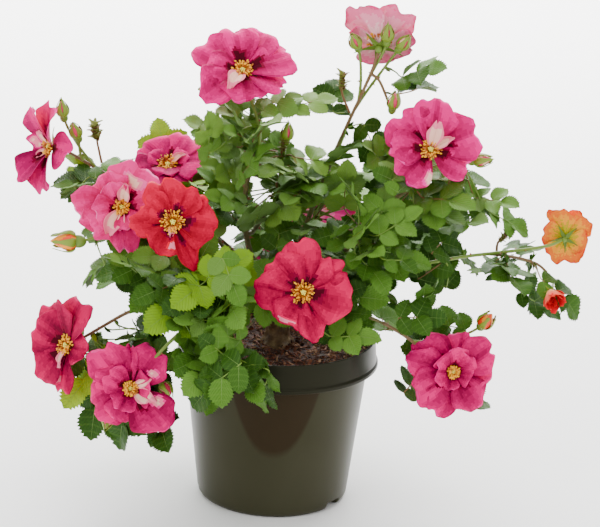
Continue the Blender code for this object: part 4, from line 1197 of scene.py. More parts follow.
def petal_sheet(petal, radius, draw, pointed):
    """(rows, columns, 3) spots of a petal: across, outward and forward.

    Its slope from foot to tip is summed to a curve, its end is notched and uneven, and
    then it is rolled, cupped, tilted, ruffled and turned back at its rim.
    """
    u, v = np.meshgrid(np.linspace(0, 1, PETAL_ROWS), np.linspace(-1, 1, PETAL_COLUMNS),
                       indexing="ij")
    waves = [draw.uniform(0, 2 * math.pi) for _ in range(6)]
    lean = draw.uniform(-0.18, 0.18)
    # Its uneven, notched end, then the curve from foot to tip.
    end = (1 - 0.24 * np.abs(v + lean) ** 3.0 - petal.notch * np.exp(-((v - 2 * lean) / 0.22) ** 2)
           + 0.055 * np.sin(4.2 * v + waves[0]) + 0.026 * np.sin(9 * v + waves[1]))
    share = u * (1 - (1 - end) * u ** 2)
    steps = np.linspace(0, 1, SHAPE_STEPS + 1)
    slope = np.radians(petal.rise + (petal.droop - petal.rise) * steps ** 0.62)
    out_table = np.concatenate([[0], np.cumsum(np.cos(slope[1:]))]) / SHAPE_STEPS
    up_table = np.concatenate([[0], np.cumsum(np.sin(slope[1:]))]) / SHAPE_STEPS
    length = (petal.reach * radius - HEART) / max(0.35, out_table[-1])
    out = np.interp(share, steps, out_table) * length + HEART
    up = np.interp(share, steps, up_table) * length
    # Its breadth, rolled in where it curls.
    swell = CLAW + (1 - CLAW) * np.sin(math.pi / 2 * np.minimum(1, u / 0.72)) ** 1.2
    swell = swell * (1 - 0.20 * np.clip((u - 0.72) / 0.28, 0, 1) ** 2)
    half = petal.width * radius * swell * (1 - pointed * u ** 1.6)
    x = half * v
    if petal.curl:
        bow = half / math.radians(petal.curl)
        x = bow * np.sin(v * math.radians(petal.curl))
        up = up + bow * (1 - np.cos(v * math.radians(petal.curl)))
    # Cup, tilt, ruffles, turned-back rim and middle groove.
    up = up + half * v ** 2 * petal.cup * (1 - 1.5 * u)
    up = up + petal.tilt * x * np.minimum(1, u * 1.6)
    size = petal.ruffle * radius * u ** 1.8
    up = up + size * np.sin(3.1 * v + waves[2]) * (0.3 + 0.7 * np.abs(v))
    up = up + 0.45 * size * np.sin(7.5 * v + waves[3]) * np.abs(v)
    up = up + 0.35 * size * np.sin(9.0 * u + 3 * v + waves[4])
    edge = np.clip((u - 0.80) / 0.20, 0, 1) ** 2
    up = up - edge * radius * 0.045 * (1 + np.sin(3.6 * v + waves[5]))
    up = up - 0.035 * radius * np.exp(-(v / 0.09) ** 2) * np.sin(math.pi * u)
    return np.stack([x, out, up], axis=2)


def petal_shades(petal, tint, draw):
    """Shade of every face of a petal, front then reverse."""
    rows = (np.arange(PETAL_ROWS - 1) + 0.5) / (PETAL_ROWS - 1)
    columns = (np.arange(PETAL_COLUMNS - 1) + 0.5) / (PETAL_COLUMNS - 1) * 2 - 1
    u, v = np.meshgrid(rows, columns, indexing="ij")
    speck = np.array([draw.random() for _ in range(u.size)]).reshape(u.shape)
    phase = draw.uniform(0, 6.28)
    first = PETALS.index(f"{tint}_0")
    # The limb, lighter to its end (partly its own colour, partly painted shade deep in the bloom)
    # and on the petals that stand high (painted light), with a paler rim.
    # Painted light: petals that stand high are lighter, as if lit from above.
    high = 0.10 * math.cos(math.radians(petal.turn))
    light = high + draw.uniform(-0.08, 0.14) + 0.92 * u + 0.16 * np.sin(4.2 * v + phase)
    light = light + 0.10 * np.sin(10 * v + 2 * phase)
    # Painted shade: darker along the middle crease and at the sides near the foot, where petals
    # overlap.
    light = light - 0.22 * np.exp(-(v / 0.12) ** 2) - 0.30 * np.abs(v) ** 6 * (1 - u)
    light = light + 0.16 * (speck - 0.5)
    front = first + np.clip(light * LIMB_STEPS, 0, LIMB_STEPS - 1).astype(int)
    front = np.where((u > 0.955) & (np.sin(5 * v + phase) > -0.2), first + LIMB_STEPS, front)
    # The dark eye with its softer margin, then the cream patch and the yellow foot.
    blot = EYE_REACH + 0.04 * np.sin(6 * v + phase)
    half = 0.56 - 0.22 * (u / EYE_REACH) ** 2
    front = np.where((u < blot) & (np.abs(v) < half), PETALS.index("eye_soft"), front)
    front = np.where((u < blot - 0.05 - 0.04 * speck) & (np.abs(v) < half - 0.10),
                     PETALS.index("eye"), front)
    if petal.flash:
        middle_u, middle_v, long, wide = petal.flash
        off = ((u - middle_u) / long) ** 2 + ((v - middle_v) / wide) ** 2
        off = off + 0.3 * np.sin(11 * u + 6 * v + phase)
        front = np.where(off < 1, first + LIMB_STEPS, front)
        front = np.where(off < 0.62, PETALS.index("cream_pink"), front)
        front = np.where(off < 0.16, PETALS.index("cream"), front)
    front = np.where(u < 0.10, PETALS.index("foot"), front)
    # The reverse, paler at its foot.
    veins = 0.12 * np.cos(14 * v + phase) * (1 - u)
    far = 0.08 + 0.70 * u + 0.26 * np.abs(v) ** 1.5 * u + veins + 0.14 * (speck - 0.5)
    back = first + LIMB_STEPS + 1 + np.clip(far * BACK_STEPS, 0, BACK_STEPS - 1).astype(int)
    return front.ravel(), back.ravel()


def sheet_faces(rows, columns):
    """Quads of two facing grids of corners and of the rim that joins them."""
    front = grid_faces(rows, columns)
    back = front[:, ::-1] + rows * columns
    border = [*range(columns), *range(2 * columns - 1, rows * columns, columns),
              *range(rows * columns - 2, (rows - 1) * columns - 1, -1),
              *range((rows - 2) * columns, 0, -columns)]
    other = border[1:] + border[:1]
    rim = [(b, a, a + rows * columns, b + rows * columns) for a, b in zip(border, other)]
    return front, back, np.array(rim)


def add_sheet(heap, spots, flesh, front_shade, back_shade, rim_shade):
    """Thin closed sheet with a front and a reverse, from a (rows, columns, 3) grid."""
    rows, columns = spots.shape[:2]
    normal = np.cross(np.gradient(spots, axis=1), np.gradient(spots, axis=0))
    normal /= np.maximum(np.linalg.norm(normal, axis=2, keepdims=True), 1e-12)
    both = np.concatenate([(spots + normal * flesh / 2).reshape(-1, 3),
                           (spots - normal * flesh / 2).reshape(-1, 3)])
    v, u = np.meshgrid(np.linspace(-1, 1, columns), np.linspace(0, 1, rows))
    grain = np.stack([v.ravel(), u.ravel()], axis=1)
    front, back, rim = sheet_faces(rows, columns)
    heap.add(both, front, front_shade, np.concatenate([grain, grain]))
    heap.add_faces(back, back_shade)
    heap.add_faces(rim, rim_shade)


def bloom_frame(facing):
    """Rows right, up and forward of a bloom, as seen by one who looks at its face."""
    face = heading(*facing)
    right = Vector((0, 0, 1)).cross(face).normalized()
    return np.array([right, face.cross(right), face])


def add_petal(heap, petal, bloom, tint, seed):
    """One petal of a bloom, or one of its small cream folds where the tint is cream."""
    draw = random.Random(seed)
    radius = bloom.radius * MM
    basis = bloom_frame(bloom.facing)
    turn = math.radians(petal.turn)
    outward = basis[1] * math.cos(turn) + basis[0] * math.sin(turn)
    across = basis[0] * math.cos(turn) - basis[1] * math.sin(turn)
    own = np.array([across, outward, basis[2]])
    spots = petal_sheet(petal, radius, draw, FOLD_TAPER if tint == "cream" else 0.0) @ own
    spots = spots + np.array(place(bloom.at)) - basis[2] * radius * BASE
    if tint == "cream":
        back = PETALS.index("cream_pink")
        front = np.full((PETAL_ROWS - 1, PETAL_COLUMNS - 1), PETALS.index("cream"))
        front[:, :4] = front[:, -3:] = front[-5:] = back
        add_sheet(heap, spots, PETAL_FLESH, front.ravel(), back, back)
        return
    front, back = petal_shades(petal, tint, draw)
    add_sheet(heap, spots, PETAL_FLESH, front, back, PETALS.index(f"{tint}_rim"))


WHORL_LAYERS = (0, 1, 0, 1, 0.5, 1)    # which petals of an even ring lie over the others


def whorl(count, start, reach, width, seed, **shape):
    """An even ring of petals, each a little its own."""
    draw = random.Random(seed)
    petals = []
    for i in range(count):
        layer = WHORL_LAYERS[i % len(WHORL_LAYERS)]
        turn = start + 360 * i / count + draw.uniform(-8, 8)
        petal = Petal(turn, reach * draw.uniform(0.92, 1.02), width * draw.uniform(0.92, 1.08),
                      **shape)
        petals.append(petal._replace(rise=petal.rise + 9 * layer + draw.uniform(-3, 3),
                                     droop=petal.droop + draw.uniform(-8, 8),
                                     notch=draw.uniform(0.02, 0.12)))
    return petals


# A bloom's look. Its limbs are its coloured petals and its folds the small cream ones;
# `stamens` is how far those have opened. Its heart may sit right of or above its place, in
# millimetres across its face.
Look = namedtuple("Look", "tint heart limbs folds stamens", defaults=(1.0,))


def back_look(tint, name, outer, inner, fold, stamens=1.0):
    """Look of a bloom at the back: two even rings of petals and one fold.

    outer: count, first turn, width; inner: count, first turn, reach, rise, droop; fold:
    turn, reach, width.
    """
    count, turn, width = outer
    few, first, reach, rise, droop = inner
    limbs = whorl(count, turn, 1.0, width, name)
    limbs += whorl(few, first, reach, 0.34, name + " inner", rise=rise, droop=droop)
    return [Look(tint, (0, 0), limbs, [Petal(*fold, 74, 12, curl=50)], stamens)]


# Looks of every mass's blooms, in the order of their table.
LOOKS = {
    "top_left": [Look("pink", (0, 0), [
        Petal(308, 1.07, 0.50, 44, flash=(0.62, 0.86, 0.20, 0.16)), Petal(350, 1.0, 0.46, 56),
        Petal(24, 1.07, 0.48, 46), Petal(72, 1.04, 0.52, 55),
        Petal(114, 0.90, 0.34, 44), Petal(176, 0.76, 0.50, 52),
        Petal(234, 1.05, 0.46, 44, -22), Petal(272, 0.76, 0.38, 58)],
        [Petal(206, 0.64, 0.27, 74, -8, curl=46)], 0.85)],
    "top_right": [Look("blush", (0, 0), [
        Petal(38, 1.00, 0.56, 50, 22), Petal(-42, 0.96, 0.56, 56, 18),
        Petal(-104, 0.88, 0.52, 46, -6), Petal(186, 0.82, 0.58, 50, -10),
        Petal(98, 0.70, 0.54, 56, 10)], [])],
    "right_high": [Look("pink", (-2, -5), [
        Petal(313, 0.97, 0.54, 46), Petal(8, 1.04, 0.46, 54), Petal(68, 1.02, 0.54, 46),
        Petal(116, 0.84, 0.42, 56), Petal(222, 0.84, 0.46, 46, flash=(0.60, -0.9, 0.22, 0.3)),
        Petal(268, 0.82, 0.36, 58)],
        [Petal(14, 0.50, 0.27, 76, 26, curl=50), Petal(66, 0.50, 0.17, 72, 10, curl=50)], 0.9)],
    "far_left": [Look("dusk", (0, 0), [
        Petal(348, 0.84, 0.58, 56, 24, cup=0.1, curl=36, ruffle=0.02, notch=0.02),
        Petal(14, 1.02, 0.54, 46, -4, cup=0.1, curl=36, ruffle=0.02),
        Petal(84, 0.90, 0.42, 36, -20),
        Petal(164, 1.02, 0.46, 44, -8, cup=0.1, curl=36, ruffle=0.02),
        Petal(198, 0.86, 0.42, 58, 26, cup=0.1, curl=36, ruffle=0.02, notch=0.02),
        Petal(266, 0.46, 0.26, 52, 40, flash=(0.6, 0.2, 0.3, 0.5))],
        [Petal(336, 0.36, 0.18, 74, 30, curl=50), Petal(212, 0.36, 0.15, 72, 20, curl=50)], 0.8)],
    "left": [Look("faded", (4, 0), [
        Petal(22, 0.98, 0.62, 46, flash=(0.62, 0.1, 0.16, 0.5)), Petal(326, 0.80, 0.46, 56),
        Petal(262, 1.08, 0.50, 46), Petal(228, 0.88, 0.46, 55),
        Petal(170, 1.02, 0.32, 44, -22), Petal(100, 0.78, 0.48, 55),
        Petal(338, 0.56, 0.36, 66, 10),
        Petal(250, 0.60, 0.38, 66, 6), Petal(150, 0.52, 0.30, 70, 14)],
        [Petal(14, 0.52, 0.24, 74, 10, curl=55), Petal(196, 0.66, 0.32, 70, 0, curl=40)], 0.6),
        Look("scarlet", (0, 0), [
            Petal(-20, 0.95, 0.46, 46), Petal(24, 0.85, 0.42, 56), Petal(54, 0.88, 0.30, 44),
            Petal(97, 0.95, 0.52, 54), Petal(152, 1.14, 0.26, 44, -20, curl=36),
            Petal(204, 0.76, 0.44, 54, flash=(0.62, -0.5, 0.16, 0.3)),
            Petal(268, 0.92, 0.34, 44), Petal(306, 0.78, 0.38, 58)],
            [Petal(184, 0.34, 0.13, 66, 0, curl=50)])],
    "front": [Look("crimson", (0, 0), [
        Petal(-10, 1.02, 0.44, 46), Petal(26, 0.84, 0.38, 56), Petal(58, 0.96, 0.32, 44),
        Petal(100, 0.96, 0.52, 54), Petal(162, 0.98, 0.30, 44, -20),
        Petal(206, 0.72, 0.44, 55, flash=(0.88, 0.1, 0.08, 0.45)),
        Petal(278, 0.95, 0.44, 46), Petal(318, 0.88, 0.44, 57),
        Petal(238, 0.72, 0.34, 46)], [])],
    "low_left": [Look("wine", (3, -3), [
        Petal(10, 1.04, 0.56, 48, ruffle=0.03, notch=0.02),
        Petal(334, 0.90, 0.58, 54, 12, ruffle=0.03, notch=0.02),
        Petal(288, 0.72, 0.56, 58, 26, ruffle=0.03, notch=0.02),
        Petal(246, 0.60, 0.36, 54, 14, ruffle=0.03), Petal(206, 0.92, 0.52, 52, 0, ruffle=0.03),
        Petal(164, 1.02, 0.32, 40, flash=(0.66, 0.3, 0.2, 0.34)), Petal(84, 0.66, 0.36, 50)],
        [Petal(160, 0.50, 0.15, 70, 10, curl=45)], 0.9)],
    "low_front_left": [Look("rose", (0, 0), [
        Petal(320, 1.10, 0.50, 46), Petal(358, 0.94, 0.16, 56),
        Petal(34, 1.0, 0.46, 50, flash=(0.55, 0.5, 0.10, 0.30)),
        Petal(138, 1.14, 0.54, 46, flash=(0.46, -0.6, 0.14, 0.30)), Petal(190, 0.72, 0.46, 56),
        Petal(236, 0.92, 0.52, 46), Petal(284, 0.80, 0.40, 60), Petal(82, 0.42, 0.42, 68, 20),
        Petal(302, 0.60, 0.34, 66, 8), Petal(204, 0.50, 0.32, 68, 10)],
        [Petal(116, 0.60, 0.26, 66, 0, curl=40), Petal(60, 0.50, 0.16, 70, 8, curl=50)], 0.55)],
    "low_right": [Look("rose", (5, -3), [
        Petal(316, 1.02, 0.42, 46), Petal(288, 1.08, 0.36, 56),
        Petal(14, 0.88, 0.34, 46, flash=(0.5, -0.8, 0.2, 0.3)), Petal(58, 1.0, 0.44, 55),
        Petal(100, 0.84, 0.42, 46), Petal(146, 0.92, 0.44, 55), Petal(208, 0.98, 0.40, 46),
        Petal(240, 1.0, 0.46, 57), Petal(340, 0.50, 0.40, 72, 34), Petal(30, 0.46, 0.34, 72, 34),
        Petal(96, 0.40, 0.30, 72, 24), Petal(200, 0.40, 0.26, 70, 10),
        Petal(276, 0.44, 0.32, 72, 30)],
        [Petal(318, 0.40, 0.16, 74, 12, curl=50)], 0.45)],
    "far_right": [Look("apricot", (0, 0), [
        Petal(15, 1.16, 0.52, 46, -24), Petal(-42, 1.10, 0.58, 56, -18),
        Petal(-106, 0.80, 0.52, 46, -24), Petal(-152, 1.06, 0.50, 55, -20),
        Petal(155, 1.04, 0.48, 46, -26), Petal(88, 0.84, 0.58, 56, -20)], [])],
    "back_left": back_look("dusk", "back left", (5, 20, 0.58), (3, 50, 0.58, 64, 10),
                           (60, 0.5, 0.2)),
    "back": back_look("pink", "back", (5, 8, 0.58), (3, 40, 0.58, 64, 10), (190, 0.5, 0.2)),
    "back_right": back_look("crimson", "back right", (5, 0, 0.58), (2, 36, 0.6, 62, 8),
                            (80, 0.5, 0.2)),
    "low_back_left": back_look("rose", "low back left", (6, 16, 0.50), (4, 40, 0.54, 66, 12),
                               (120, 0.5, 0.2), 0.7),
    "low_back": back_look("faded", "low back", (6, 0, 0.50), (4, 30, 0.56, 66, 12),
                          (40, 0.5, 0.22), 0.7),
}

HEARTS = {"anther": (244, 172, 8), "anther_dark": (176, 92, 12), "filament": (206, 104, 10),
          "style": (250, 240, 90), "calyx": (92, 118, 24), "calyx_pale": (122, 146, 36),
          "hip": (104, 134, 40), "bud_pink": (240, 60, 104), "bud_yellow": (250, 150, 10),
          "bud_orange": (246, 66, 14), "bud_cream": (252, 204, 160),
          "tip_bronze": (114, 78, 40), "tip_green": (116, 122, 40)}
HEART_NAMES = list(HEARTS)


def heart(name):
    return HEART_NAMES.index(name)


def bead(sides, rows):
    """Corners and faces of a unit ball."""
    verts = [(0, 0, -1)]
    for i in range(1, rows):
        a = math.pi * i / rows
        for k in range(sides):
            b = 2 * math.pi * k / sides
            verts.append((math.sin(a) * math.cos(b), math.sin(a) * math.sin(b), -math.cos(a)))
    verts.append((0, 0, 1))
    quads = grid_faces(rows - 1, sides, closed=True) + 1
    last = len(verts) - 1
    low = [(0, 1 + (k + 1) % sides, 1 + k) for k in range(sides)]
    high = [(last, last - sides + k, last - sides + (k + 1) % sides) for k in range(sides)]
    return np.array(verts), quads, np.array(low + high)


BEAD = bead(6, 4)
FINE_BEAD = bead(14, 9)


def add_bead(heap, centre, axis, radius, length, shade, shape=BEAD):
    """Ball stretched along an axis."""
    verts, quads, triangles = shape
    side = axis.orthogonal().normalized()
    basis = np.array([side * radius, axis.cross(side) * radius, axis * length])
    heap.add(verts @ basis + np.array(centre), quads, shade)
    heap.add_faces(triangles, shade)


STYLES, STAMENS = 11, 76
STYLE_RADIUS, FILAMENT_RADIUS = 0.3 * MM, 0.24 * MM
DARK_ANTHERS = 0.25                 # share of the anthers that are ripe and dark


def add_heart(heap, bloom, opened, seed):
    """Stamens round a cushion of styles."""
    draw = random.Random(seed)
    basis = [Vector(row) for row in bloom_frame(bloom.facing)]
    face = basis[2]
    foot = place(bloom.at) - face * bloom.radius * MM * BASE
    add_bead(heap, foot, face, 3.2 * MM, 1.8 * MM, heart("calyx_pale"))
    for i in range(STYLES):
        a = i * GOLDEN_ANGLE
        out = basis[0] * math.cos(a) + basis[1] * math.sin(a)
        spot = foot + out * 0.75 * MM * math.sqrt(i) + face * (5.4 - 0.10 * i) * MM
        add_limb(heap, [foot + face * MM, spot], [STYLE_RADIUS] * 2, 4, heart("style"))
        add_bead(heap, spot, face, 0.85 * MM, 0.7 * MM, heart("style"))
    for i in range(STAMENS):
        a = i * GOLDEN_ANGLE + draw.uniform(-0.15, 0.15)
        out = basis[0] * math.cos(a) + basis[1] * math.sin(a)
        spread = (4.0 + 6.6 * ((i * 0.37) % 1.0)) * opened * MM
        rise = draw.uniform(5.4, 8.8) * MM - spread * 0.22
        tip = foot + out * (spread + 1.2 * MM) + face * rise
        knee = foot + out * spread * 0.65 + face * rise * 0.62
        line = smooth_line([foot + out * 1.6 * MM, knee, tip], 5)
        add_limb(heap, line, [FILAMENT_RADIUS] * 5, 4, heart("filament"))
        axis = (out * 0.7 + face * draw.uniform(-0.4, 0.9)).normalized()
        shade = heart("anther_dark" if draw.random() < DARK_ANTHERS else "anther")
        add_bead(heap, tip, axis, 0.95 * MM, 1.45 * MM, shade)


def blade_spots(root, axis, face, length, width, sag, fold, rows):
    """(rows, 5, 3) spots of a narrow blade with the outline of a sepal."""
    t = np.linspace(0, 1, rows)[:, None]
    share = np.linspace(-1, 1, 5)[None, :]
    half = width / 2 * np.interp(t, *SEPAL_SHAPE)
    x = half * share
    y = length * t + 0 * share
    z = fold * np.abs(x) - sag * length * t ** 2
    basis = frame_of(axis, face)
    return np.stack([x, y, z], axis=2) @ basis + np.array(root)


# Breadth of a sepal at places from its foot to its point.
SEPAL_SHAPE = ((0.0, 0.16, 0.45, 0.7, 0.86, 1.0), (0.62, 1.0, 0.62, 0.26, 0.30, 0.02))
SEPAL_FLESH = 0.35 * MM
SEPAL_WIDTH = 6.4 * MM
SEPAL_FOLD = -0.25
SEPAL_ROWS = 12
FULL_BLOOM = 40 * MM                # radius of a bloom from which its calyx is of full size


def add_calyx(heap, bloom, seed, bent_back=0.5):
    """Five sepals and the young hip under a bloom."""
    draw = random.Random(seed)
    basis = [Vector(row) for row in bloom_frame(bloom.facing)]
    face = basis[2]
    radius = bloom.radius * MM
    foot = place(bloom.at) - face * (radius * (BASE + 0.02) + 0.6 * MM)
    size = min(1.0, radius / FULL_BLOOM)
    add_bead(heap, foot - face * 2.6 * MM, face, 3.5 * MM * size, 4.2 * MM * size,
             heart("hip"), FINE_BEAD)
    for k in range(5):
        a = math.radians(36 + 72 * k + draw.uniform(-8, 8))
        out = basis[0] * math.sin(a) + basis[1] * math.cos(a)
        axis = (out + face * draw.uniform(0.05, 0.35)).normalized()
        length = draw.uniform(18, 23) * MM * size
        sag = bent_back * draw.uniform(0.3, 1.0)
        spots = blade_spots(foot + out * 1.2 * MM, axis, face, length, SEPAL_WIDTH * size,
                            sag, SEPAL_FOLD, SEPAL_ROWS)
        add_sheet(heap, spots, SEPAL_FLESH, heart("calyx_pale"), heart("calyx"), heart("calyx"))


BUD_LOOKS = {
    "top_right": ["green", "green", "green", "pale"], "right_high": ["pale"],
    "far_left": ["green", "green"], "left": ["yellow"], "low_front_left": ["pale", "green"],
    "low_right": ["orange"], "far_right": ["red"], "inner": ["green"],
}
# Petals of a rose that has just begun to open, round its heart.
OPENING = [Petal(turn, 0.66, 0.66, 50, 78, curl=44, ruffle=0.02, notch=0.02)
           for turn in range(0, 360, 72)]
OPENING += [Petal(turn, 0.50, 0.52, 62, 88, curl=56, ruffle=0.02) for turn in range(30, 360, 90)]
OPENING += [Petal(turn, 0.38, 0.38, 72, 94, curl=66, ruffle=0.02)
            for turn in range(10, 360, 120)]
OPENING_FACING = (18, -22)
OPENING_RADIUS = 14.0
OPENING_SHIFT = (-6, -38, 2)        # it leans out clear of the leaves round it, millimetres
BUD_TINTS = {"green": ("bud_pink", "bud_cream"), "pale": ("bud_pink", "bud_cream"),
             "yellow": ("bud_yellow", "bud_orange"), "orange": ("bud_orange", "bud_yellow")}
BUD_OPEN = {"green": 0.20, "pale": 0.45, "yellow": 1.0, "orange": 0.9}    # how far open
BUD_ROWS, BUD_COLUMNS = 16, 24
BUD_WRAPS = 3                       # petals wrapped round a bud
BUD_PLUMP = 1.14                    # how much fuller a bud is than its solid


def bud_radius(t, openness):
    """Outline of the wrapped petals from foot (0) to point (1)."""
    blunt = 0.80 - 0.28 * openness
    return np.sin(math.pi * np.clip(t, 0, 1) ** blunt) ** 0.85 * (1 - 0.22 * t * (1 - openness))


def add_bud(heap, bud, look, seed):
    """Bud of wrapped petals held by five sepals on its hip."""
    draw = random.Random(seed)
    face = heading(*bud.facing)
    basis = [Vector(row) for row in frame_of(face.orthogonal().normalized(), face)]
    radius, length = bud.radius * MM * BUD_PLUMP, bud.length * MM
    openness = BUD_OPEN[look]
    foot = place(bud.at) - face * length * 0.42
    t = np.linspace(0.02, 0.985, BUD_ROWS)[:, None]
    turn = np.arange(BUD_COLUMNS)[None, :] * 2 * math.pi / BUD_COLUMNS
    seam = (turn * BUD_WRAPS / (2 * math.pi) + t * 1.1) % 1.0
    size = bud_radius(t, openness) * radius * 0.92 * (0.93 + 0.13 * seam)
    spots = (size * np.cos(turn))[..., None] * np.array(basis[0])
    spots = spots + (size * np.sin(turn))[..., None] * np.array(basis[1])
    spots = spots + (t * length * 0.92 + 0 * turn)[..., None] * np.array(face)
    spots = spots + np.array(foot)
    seam_middle = (seam[:-1] * 0.5 + seam[1:] * 0.5).ravel()
    first, second = (heart(tint) for tint in BUD_TINTS[look])
    heap.add(spots.reshape(-1, 3), grid_faces(BUD_ROWS, BUD_COLUMNS, closed=True),
             np.where(seam_middle > 0.62, second, first))
    add_bead(heap, foot - face * 0.6 * MM, face, radius * 0.62, radius * 0.80,
             heart("hip"), FINE_BEAD)
    for k in range(5):
        a = math.radians(72 * k + draw.uniform(-6, 6))
        out = basis[0] * math.cos(a) + basis[1] * math.sin(a)
        side = basis[1] * math.cos(a) - basis[0] * math.sin(a)
        grid = []
        peel = openness * draw.uniform(0.5, 1.0)
        reach = draw.uniform(0.98, 1.25) * (1 - 0.25 * openness)
        for step in np.linspace(0, 1, SEPAL_ROWS):
            body = float(bud_radius(min(1.0, step * reach), openness)) * radius
            lift = 0.35 * MM + peel * 5.0 * MM * step ** 2.4
            half = np.interp(step, *SEPAL_SHAPE) * radius * (0.74 - 0.3 * openness)
            spine = foot + face * (step * reach * length * 0.98)
            row = []
            for share in (1, 0.5, 0, -0.5, -1):
                swing = share * half / max(body, radius * 0.35)
                way = out * math.cos(swing) + side * math.sin(swing)
                row.append(spine + way * (body + lift))
            grid.append(row)
        add_sheet(heap, np.array(grid), SEPAL_FLESH, heart("calyx"), heart("calyx_pale"),
                  heart("calyx_pale"))


# Soft shoot tips: place, heading, length and where the stalk starts.
SHOOT_TIPS = [
    ((-174, 22, 339), (-20, 70), 27, (-168, 24, 308)),
    ((50, 16, 396), (-10, 80), 24, (58, 18, 366)),
    ((-1, 12, 336), (30, 70), 20, (-6, 14, 316)),
    ((14, -60, 246), (60, 40), 16, (20, -54, 226)),
    ((204, -10, 262), (60, 50), 18, (198, -10, 246)),
]
TIP_BLADES = 20


def add_shoot_tip(heap, foot, facing, length, start, seed):
    """Cluster of unopened leaflets at the end of a young shoot."""
    draw = random.Random(seed)
    axis = heading(*facing)
    root = place(foot) - axis * length * MM * 0.5
    stalk = smooth_line([place(start), root, root + axis * length * MM * 0.7], 12)
    add_limb(heap, stalk, np.linspace(1.3, 0.9, len(stalk)) * MM, 6, heart("tip_bronze"))
    for i in range(TIP_BLADES):
        a = i * GOLDEN_ANGLE
        side = Matrix.Rotation(a, 3, axis) @ axis.orthogonal().normalized()
        spot = root + axis * length * MM * (0.10 + 0.62 * i / TIP_BLADES)
        way = (axis * draw.uniform(1.1, 2.2) + side).normalized()
        size = length * MM * draw.uniform(0.26, 0.38)
        shade = heart(draw.choice(("tip_bronze", "tip_green", "tip_green")))
        spots = blade_spots(spot, way, axis, size, size, 0.4, 0.4, 9)
        add_sheet(heap, spots, 0.3 * MM, shade, shade, shade)


def heart_shift(bloom, look):
    """How far a bloom's heart sits from its place."""
    right, up, _ = bloom_frame(bloom.facing)
    return Vector(right * look.heart[0] + up * look.heart[1])


def add_blooms(petals, hearts, name):
    """A mass's blooms and buds, each with its heart and calyx."""
    mass = MASSES[name]
    for i, (bloom, look) in enumerate(zip(mass.blooms, LOOKS.get(name, []))):
        seed = f"{name} bloom {i}"
        bloom = bloom._replace(at=tuple(Vector(bloom.at) + heart_shift(bloom, look)))
        for k, petal in enumerate(look.limbs):
            add_petal(petals, petal, bloom, look.tint, f"{seed} {k}")
        for k, petal in enumerate(look.folds):
            add_petal(petals, petal, bloom, "cream", f"{seed} cream {k}")
        add_heart(hearts, bloom, look.stamens, seed + " heart")
        add_calyx(hearts, bloom, seed + " calyx")
    for i, bud in enumerate(mass.buds):
        seed = f"{name} bud {i}"
        if BUD_LOOKS[name][i] != "red":
            add_bud(hearts, bud, BUD_LOOKS[name][i], seed)
            continue
        clear = tuple(a + b for a, b in zip(bud.at, OPENING_SHIFT))
        stalk = smooth_line([place(bud.at), place(clear)], 4)
        add_limb(hearts, stalk, np.full(4, 1.2 * MM), 6, heart("calyx"))
        bloom = Bloom(clear, OPENING_FACING, OPENING_RADIUS)
        for k, petal in enumerate(OPENING):
            add_petal(petals, petal, bloom, "dawn", f"{seed} {k}")
        add_calyx(hearts, bloom, seed + " calyx", 0.2)


def blended(first, second, share):
    """Colour that lies a share of the way from the first to the second."""
    return tuple(a + (b - a) * share for a, b in zip(first, second))


RIM_SHARE = 0.6                     # how far the reverse goes to the rim's colour at its end


def petal_skins():
    """Materials of the petals' shades, in the order of PETALS."""
    skins = [petal_material(*row) for row in COMMON.items()]
    for tint, (depth, light, rim, back, pale) in TINTS.items():
        for step in range(LIMB_STEPS):
            colour = blended(depth, light, step / (LIMB_STEPS - 1))
            skins.append(petal_material(f"{tint}_{step}", colour))
        skins.append(petal_material(f"{tint}_rim", rim))
        for step in range(BACK_STEPS):
            share = 2 * step / (BACK_STEPS - 1)
            colour = (blended(pale, back, share) if share <= 1
                      else blended(back, rim, (share - 1) * RIM_SHARE))
            skins.append(petal_material(f"{tint}_back_{step}", colour))
    return skins


def make_crown():
    """Leaves, shoots, petals and hearts, each kind joined by quarter of the crown."""
    crown = grown_crown()
    leaf_skins = [leaf_material(*row) for row in GREENS.items()]
    leaf_skins += [rind_material(*row) for row in RIBS.items()]
    leaf_skins += [leaf_material(*row, UNDER_GLOSS) for row in UNDERS.items()]
    leaf_skins += [leaf_material(name + "_vein", blended(colour, RIBS["rib_green"], VEIN_TONE))
                   for name, colour in GREENS.items()]
    shoot_skins = [rind_material(*row) for row in SHOOT_TINTS.items()]
    heart_skins = [rind_material(*row) for row in HEARTS.items()]
    limb_skins = petal_skins()
    for group, names in GROUPS.items():
        blades, shoots, petals, hearts = Heap(), Heap(), Heap(), Heap()
        for name in names:
            runs, leaves = crown[name]
            add_shoots(shoots, name, runs)
            for index, leaf in enumerate(leaves):
                add_leaf(blades, shoots, name, leaf, index)
            add_blooms(petals, hearts, name)
        if group == "high":
            for i, tip in enumerate(SHOOT_TIPS):
                add_shoot_tip(hearts, *tip, f"tip {i}")
        nodes = ["foliage_" + name for name in names]
        for kind, heap, skins in (("leaves", blades, leaf_skins), ("shoots", shoots, shoot_skins),
                                  ("petals", petals, limb_skins), ("hearts", hearts, heart_skins)):
            seat(heap.build(f"{kind}_{group}", skins), "foliage", *nodes)


# --- Stem, pot and compost ------------------------------------------------------------------

def lathe(profile, sides, wobble=None):
    """(rows, sides, 3) spots of a profile of (radius, height) turned about Z."""
    turns = np.arange(sides) * 2 * math.pi / sides
    radius = np.array([spot[0] for spot in profile])[:, None]
    height = np.array([spot[1] for spot in profile])[:, None] + 0 * turns[None, :]
    if wobble is not None:
        radius = radius * wobble(turns[None, :], height)
    return np.stack([radius * np.cos(turns), radius * np.sin(turns), height], axis=2)


